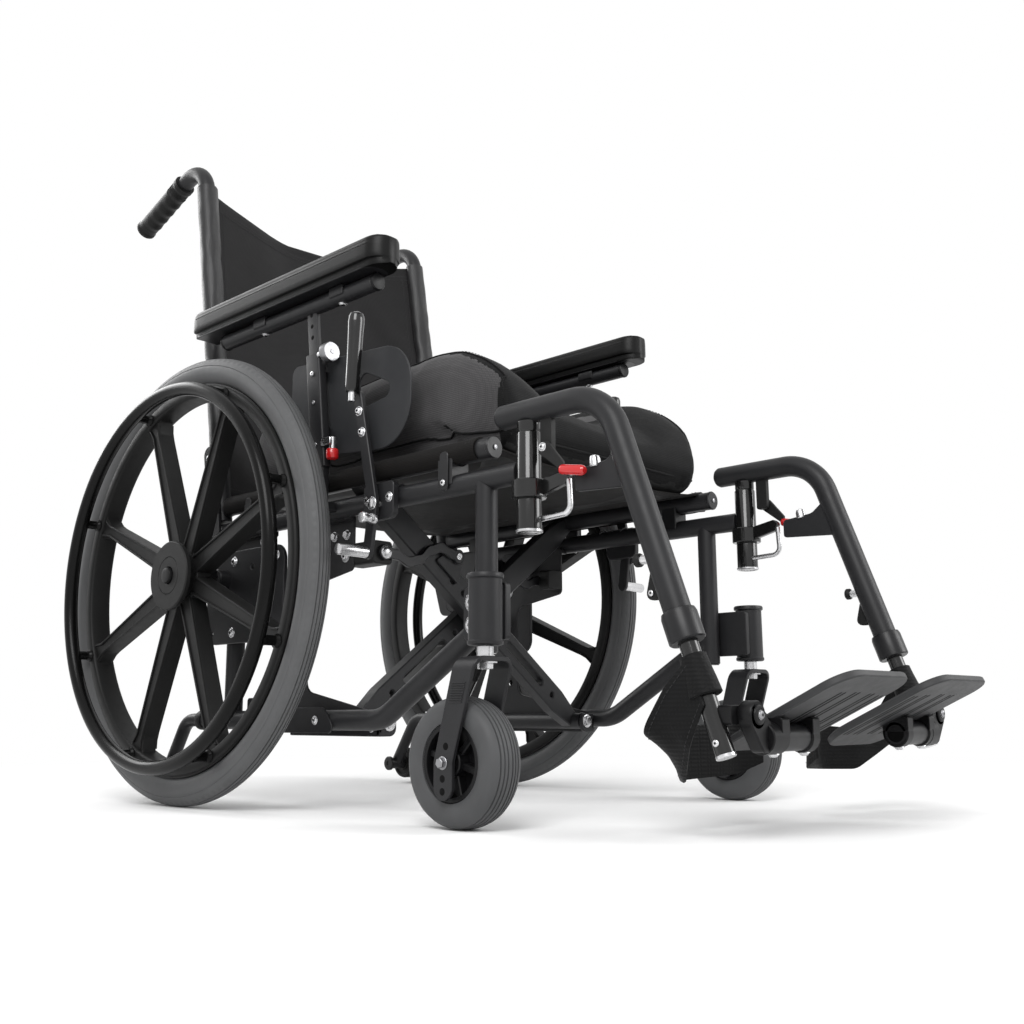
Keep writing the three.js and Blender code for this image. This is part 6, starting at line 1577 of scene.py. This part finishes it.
def drawBraceBolt(piece):
    # Centre bolt with its nuts and spacer
    z = braceShape["boltZ"]
    front, rear = -273.3, -220.7
    alongY(piece, "zinc", 0, z, front - 2, rear + 2, 6)
    addBolt(piece, (0, front, z), "front", 10, 5, "hex")
    addBolt(piece, (0, rear, z), "rear", 10, 5, "hex")
    spacer = [(6, 0), (10, 0), (10, 11.4), (6, 11.4)]
    onY(piece, "mattPlastic", spacer, 0, -252.7, z, 32, True)


for side in ("left", "right"):
    brace = drawn(drawBrace, side)
    show(f"{side}Brace", brace, f"brace_{side}", [f"{side}_brace"], side == "right")
bothSides("Link", drawLink, "link", "folding_link")
show("braceBolt", drawn(drawBraceBolt), "brace_left", ["brace_bolt"])
print("brace made")

# Cushion

cushionLook = {"half": 205, "front": -514, "rear": 26, "low": 421.5, "high": 573, "shrink": 4.0, "voxel": 6.0,
               "pressure": 4.0, "cap": 7.0, "frames": 20, "piping": 1.5, "pipingProud": 0.4, "wrinkle": 0.9,
               "meshFrom": 0.05, "meshTo": 0.97, "meshLow": 12, "weltShares": (0.245, 0.505)}

# Half a section from the bottom middle to the top middle, as shares of half the width and of the height
cushionSection = [(0, 0), (0.3, 0), (0.6, 0), (0.86, 0.004), (0.955, 0.035), (0.985, 0.1), (1, 0.25),
                  (1, 0.45), (0.998, 0.62), (0.992, 0.76), (0.978, 0.88), (0.945, 0.965), (0.9, 0.99),
                  (0.84, 0.992), (0.78, 0.98), (0.71, 0.93), (0.64, 0.86), (0.57, 0.77), (0.5, 0.68),
                  (0.4, 0.63), (0.3, 0.6), (0.2, 0.58), (0.12, 0.565), (0, 0.56)]
# Each station: share of the length, of the height, of the width, and how far it is raised
cushionStations = [(0, 0.2, 0.93, 0.2), (0.012, 0.44, 0.965, 0.1), (0.045, 0.68, 0.985, 0.02),
                   (0.1, 0.84, 1, 0), (0.17, 0.955, 1, 0), (0.26, 1, 1, 0), (0.42, 1, 1, 0),
                   (0.58, 0.985, 0.995, 0), (0.74, 0.98, 1, 0), (0.88, 0.95, 0.995, 0),
                   (0.96, 0.84, 0.985, 0), (0.99, 0.6, 0.97, 0.04), (1, 0.4, 0.95, 0.1)]


def between(rows, at):
    # A smooth reading between rows whose first value is the place
    for k in range(len(rows) - 1):
        if at <= rows[k + 1][0]:
            break
    rowBefore, rowHere = rows[max(k - 1, 0)], rows[k]
    rowThere, rowAfter = rows[k + 1], rows[min(k + 2, len(rows) - 1)]
    t = (at - rowHere[0]) / (rowThere[0] - rowHere[0])
    values = []
    for a, b, c, d in list(zip(rowBefore, rowHere, rowThere, rowAfter))[1:]:
        curve = b + 0.5 * t * (c - a + t * (2 * a - 5 * b + 4 * c - d + t * (3 * (b - c) + d - a)))
        low, high = min(b, c), max(b, c)
        values.append(min(max(curve, low - 0.01), high + 0.01))
    return values


def sectionSpot(share):
    # A point of the half section, share running from the bottom middle to the top middle
    place = share * (len(cushionSection) - 1)
    k = min(int(place), len(cushionSection) - 2)
    here, there = Vector(cushionSection[k]), Vector(cushionSection[k + 1])
    before = Vector(cushionSection[max(k - 1, 0)])
    after = Vector(cushionSection[min(k + 2, len(cushionSection) - 1)])
    t = place - k
    return here + 0.5 * t * (there - before + t * (2 * before - 5 * here + 4 * there - after
                             + t * (3 * (here - there) + after - before)))


def cushionSpot(along, share, side, inward=0.0):
    tall, wide, lift = between(cushionStations, along)
    across, up = sectionSpot(share)
    half = cushionLook["half"] - inward
    length = cushionLook["rear"] - cushionLook["front"] - 2 * inward
    low, high = cushionLook["low"] + inward * 0.5, cushionLook["high"] - inward
    return Vector((side * across * wide * half, cushionLook["front"] + inward + along * length,
                   low + (high - low) * (lift + up * tall)))


def puff(holder, look):
    # Swells a closed piece as cloth under a little pressure, and keeps every point near where it was
    remesh = holder.modifiers.new("remesh", "REMESH")
    remesh.mode = "VOXEL"
    remesh.voxel_size = look["voxel"] / 1000
    graph = bpy.context.evaluated_depsgraph_get()
    even = bpy.data.meshes.new_from_object(holder.evaluated_get(graph))
    holder.modifiers.clear()
    holder.data = even
    start = [vertex.co.copy() for vertex in even.vertices]
    cloth = holder.modifiers.new("cloth", "CLOTH")
    cloth.settings.use_pressure = True
    cloth.settings.uniform_pressure_force = look["pressure"]
    cloth.settings.effector_weights.gravity = 0
    cloth.settings.mass = 0.4
    cloth.collision_settings.use_collision = False
    for step in range(1, look["frames"] + 1):
        bpy.context.scene.frame_set(step)
    graph = bpy.context.evaluated_depsgraph_get()
    swollen = bpy.data.meshes.new_from_object(holder.evaluated_get(graph))
    holder.modifiers.clear()
    cap = look["cap"] / 1000
    for vertex, first in zip(swollen.vertices, start):
        move = vertex.co - first
        if move.length > cap:
            vertex.co = first + move * (cap / move.length)
    holder.data = swollen
    bpy.context.scene.frame_set(1)


def subdivided(holder):
    smooth = holder.modifiers.new("smooth", "SUBSURF")
    smooth.levels = 1
    graph = bpy.context.evaluated_depsgraph_get()
    holder.data = bpy.data.meshes.new_from_object(holder.evaluated_get(graph))
    holder.modifiers.clear()


def nearSurface(tree, place, proud):
    found, normal, _, _ = tree.find_nearest(metres(place))
    spot = found + normal * (proud / 1000)
    return Vector((spot.x * 1000, spot.y * 1000 - axleY, spot.z * 1000))


def makeCushion():
    # Contoured cushion, swollen as cloth, with mesh sides and a non-slip underside
    piece = newPiece()
    loops = []
    for k in range(53):
        along = k / 52
        half = [cushionSpot(along, j / 40, 1, cushionLook["shrink"]) for j in range(41)]
        other = [cushionSpot(along, j / 40, -1, cushionLook["shrink"]) for j in range(39, 0, -1)]
        loops.append(half + other)
    addLoops(piece, "stretchKnit", loops)
    holder = bpy.data.objects.new("cushionCover", meshOf(piece))
    bpy.context.collection.objects.link(holder)
    puff(holder, cushionLook)
    subdivided(holder)
    mesh = holder.data
    places = [(vertex.co.copy(), vertex.normal.copy()) for vertex in mesh.vertices]
    for vertex, (place, outward) in zip(mesh.vertices, places):
        crease = noise.noise(Vector((place.x * 9, place.y * 5, place.z * 14))) * cushionLook["wrinkle"] / 1000
        vertex.co = place + outward * crease
    mesh.materials.clear()
    for name in ("stretchKnit", "spacerMesh", "mattPlastic"):
        mesh.materials.append(finishes[name])
    front, rear, low = cushionLook["front"], cushionLook["rear"], cushionLook["low"]
    for face in mesh.polygons:
        along = (face.center.y * 1000 - axleY - front) / (rear - front)
        inside = cushionLook["meshFrom"] < along < cushionLook["meshTo"]
        if abs(face.normal.x) > 0.62 and inside and face.center.z * 1000 - low > cushionLook["meshLow"]:
            face.material_index = 1
        elif face.normal.z < -0.7:
            face.material_index = 2
    mesh.shade_smooth()
    return holder


def makeCushionPiping(cushion):
    # Two welts round each side panel and one across the front, laid on the swollen cover
    tree = BVHTree.FromObject(cushion, bpy.context.evaluated_depsgraph_get())
    piece = newPiece()
    lower, upper = cushionLook["weltShares"]

    def welt(spots):
        line = [nearSurface(tree, cushionSpot(*spot), cushionLook["pipingProud"]) for spot in spots]
        addTube(piece, "stretchKnit", line, cushionLook["piping"], 10)
        return line

    for side in (-1, 1):
        for share in (lower, upper):
            line = welt([(0.035 + 0.94 * k / 90, share, side) for k in range(91)])
            addStitches(piece, [point + Vector((-side * 3.2, 0, 2.2)) for point in line[2:-2]], 6, 4, 0.35)
        for along in (0.035, 0.975):
            welt([(along, lower + (upper - lower) * k / 16, side) for k in range(17)])
    welt([(0.02, 0.2, side) for side in (-1, -0.5, 0, 0.5, 1)])
    return piece


cushion = makeCushion()
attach(cushion, "side_right")
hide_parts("cushion")
piping = show("cushionPiping", makeCushionPiping(cushion), "side_right", [])
for grooveShade in (cushion, piping):
    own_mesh(grooveShade)
print("cushion made")

# Back cloth

backLook = {"low": 436, "high": 954, "sleeveLow": 516, "sleeve": 15.4, "thick": 4.2, "sagLow": 28,
            "sagHigh": 34, "edgeDip": 32, "fold": 4.2, "crease": 6.16, "dimple": 2.2, "reach": 0.946}


def backSpot(across, up, offset=0.0):
    slack = 1 - across * across
    z = backLook["low"] + up * (backLook["high"] - backLook["edgeDip"] * slack * up * up - backLook["low"])
    fold = math.sin(across * 5.5 + up * 9) * backLook["fold"] * slack
    # Creases that run from the upper corners down towards the middle
    pull = math.sin(19 * (up + 0.55 * abs(across)) + 3 * across) * math.exp(-3.2 * (1 - abs(across)))
    crease = pull * backLook["crease"] * slack
    dimple = noise.noise(Vector((across * 3, up * 5, 1.3))) * backLook["dimple"] * slack
    sag = backLook["sagLow"] + (backLook["sagHigh"] - backLook["sagLow"]) * up
    y = caneY(z) + slack * sag + fold + crease + dimple + offset
    return Vector((across * chair["framePlane"], y, z))


def drawBack(piece):
    # Back cloth between the canes, with thicker hems
    half, reach = backLook["thick"] / 2, backLook["reach"]
    columns, rows = 96, 72
    loops = []
    for r in range(rows + 1):
        up = r / rows
        edge = 0.55 if r in (0, rows) else 1.0
        if up > 0.955 or up < 0.035:
            edge *= 1.25
        places = [-reach + 2 * reach * c / columns for c in range(columns + 1)]
        front = [backSpot(across, up, -half * edge) for across in places]
        rear = [backSpot(across, up, half * edge) for across in reversed(places)]
        loops.append(front + rear)
    addLoops(piece, "nylon", loops)


def drawSleeve(piece, side):
    # The cloth's pocket round the cane, lumpy outside and smooth inside, with its slack towards the middle
    heights = [backLook["sleeveLow"] + 9 * k for k in range(46)] + [934, 942, 949, 954]
    line = [Vector((chair["framePlane"], caneY(z), z)) for z in heights]
    count = len(line)
    across = Vector((1, 0, 0))
    loops, inner = [], []
    for i, point in enumerate(line):
        run = (line[min(i + 1, count - 1)] - line[max(i - 1, 0)]).normalized()
        behind = run.cross(across)
        slackness = 1.4 if 2 < i < count - 3 else 0.5
        inner.append([point + across * u + behind * v for u, v in ring(chair["bed"], 40)])
        loop = []
        for u, v in ring(1, 40):
            lump = noise.noise(Vector((u * 1.2, v * 1.2, i * 0.33 + len(side))))
            reach = backLook["sleeve"] + max(0.0, -u) ** 6 * 2.6 + lump * slackness
            loop.append(point + across * (reach * u) + behind * (reach * v))
        loops.append(loop)
    # Its colour is lighter than the back cloth's: painted highlight on the same nylon
    addLoops(piece, "sleeveNylon", loops + inner[::-1], capped=False, joined=True)


def drawBackStitches(piece):
    # Stitch rows beside both canes and along the hems
    half = backLook["thick"] / 2
    for mirror in (1, -1):
        for distance in (22, 30):
            across = mirror * (1 - distance / chair["framePlane"])
            addStitches(piece, [backSpot(across, 0.16 + 0.82 * k / 70, -half - 0.1) for k in range(71)])
    for up in (0.03, 0.965, 0.95):
        for face in (-1, 1):
            addStitches(piece, [backSpot(-0.93 + 1.86 * k / 100, up,
                                         face * (half + 0.3)) for k in range(101)])


backCloth = show("backCloth", drawn(drawBack), "side_right", ["back_upholstery"])
backStitches = show("backStitches", drawn(drawBackStitches), "side_right", [])
for side in ("left", "right"):
    sleeve = show(f"{side}BackSleeve", drawn(drawSleeve, side), f"side_{side}", [], side == "right")
for grooveShade in (backCloth, backStitches):
    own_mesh(grooveShade)
print("back made")

# Seat cloth, in two halves that fold up with the rails

slingLook = {"thick": 2.2, "front": -488, "rear": 24, "sag": 16, "wave": 0.72, "hem": 0.5}


def slingLine(offset):
    # Points of the cloth's outer or inner face from under the rail to the middle
    over = chair["tube"] + 0.3 + offset
    points = []
    for k in range(19):
        turn = math.pi * (-0.32 + 0.82 * k / 18)
        points.append((chair["framePlane"] + over * math.cos(turn), chair["rail"] + over * math.sin(turn)))
    for k in range(1, 41):
        share = 1 - k / 40
        drop = (1 - share ** 2) ** 0.55 if share < 1 else 0
        points.append((chair["framePlane"] * share, chair["rail"] + over - slingLook["sag"] * drop))
    return points


def drawSling(piece, side):
    # One half of the seat cloth, from under the rail to the middle
    outer, inner = slingLine(slingLook["thick"]), slingLine(0)
    loops = []
    for k in range(53):
        share = k / 52
        y = slingLook["front"] + share * (slingLook["rear"] - slingLook["front"])
        hem = slingLook["hem"] if k in (1, 51) else 0.0
        wave = slingLook["wave"] * math.sin(share * 21)
        rows = []
        for line, rise in ((outer, hem), (inner, -hem)):
            rows.append([Vector((x, y, z + rise + wave * max(0.0, (i - 19) / 40))) for i,
                         (x, z) in enumerate(line)])
        loops.append(rows[0] + rows[1][::-1])
    addLoops(piece, "slingCloth", loops)
    for y in (-480, -474, 12, 18):
        addStitches(piece, [(x, y, z + 0.2) for x, z in outer[10:]], radius=0.4)
    for k in (24, 27):
        for (x, z), proud in ((outer[k], 0.25), (inner[k], -0.25)):
            line = [(x, slingLook["front"] + 6 + j * 10, z + proud) for j in range(51)]
            addStitches(piece, line, radius=0.4)


for side, sign in (("left", 1), ("right", -1)):
    half = show(f"{side}SeatCloth", drawn(drawSling, side), f"brace_{side}", ["seat_sling"],
                side == "right")
    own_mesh(half)
print("seat cloth made")

# The end

print("done")
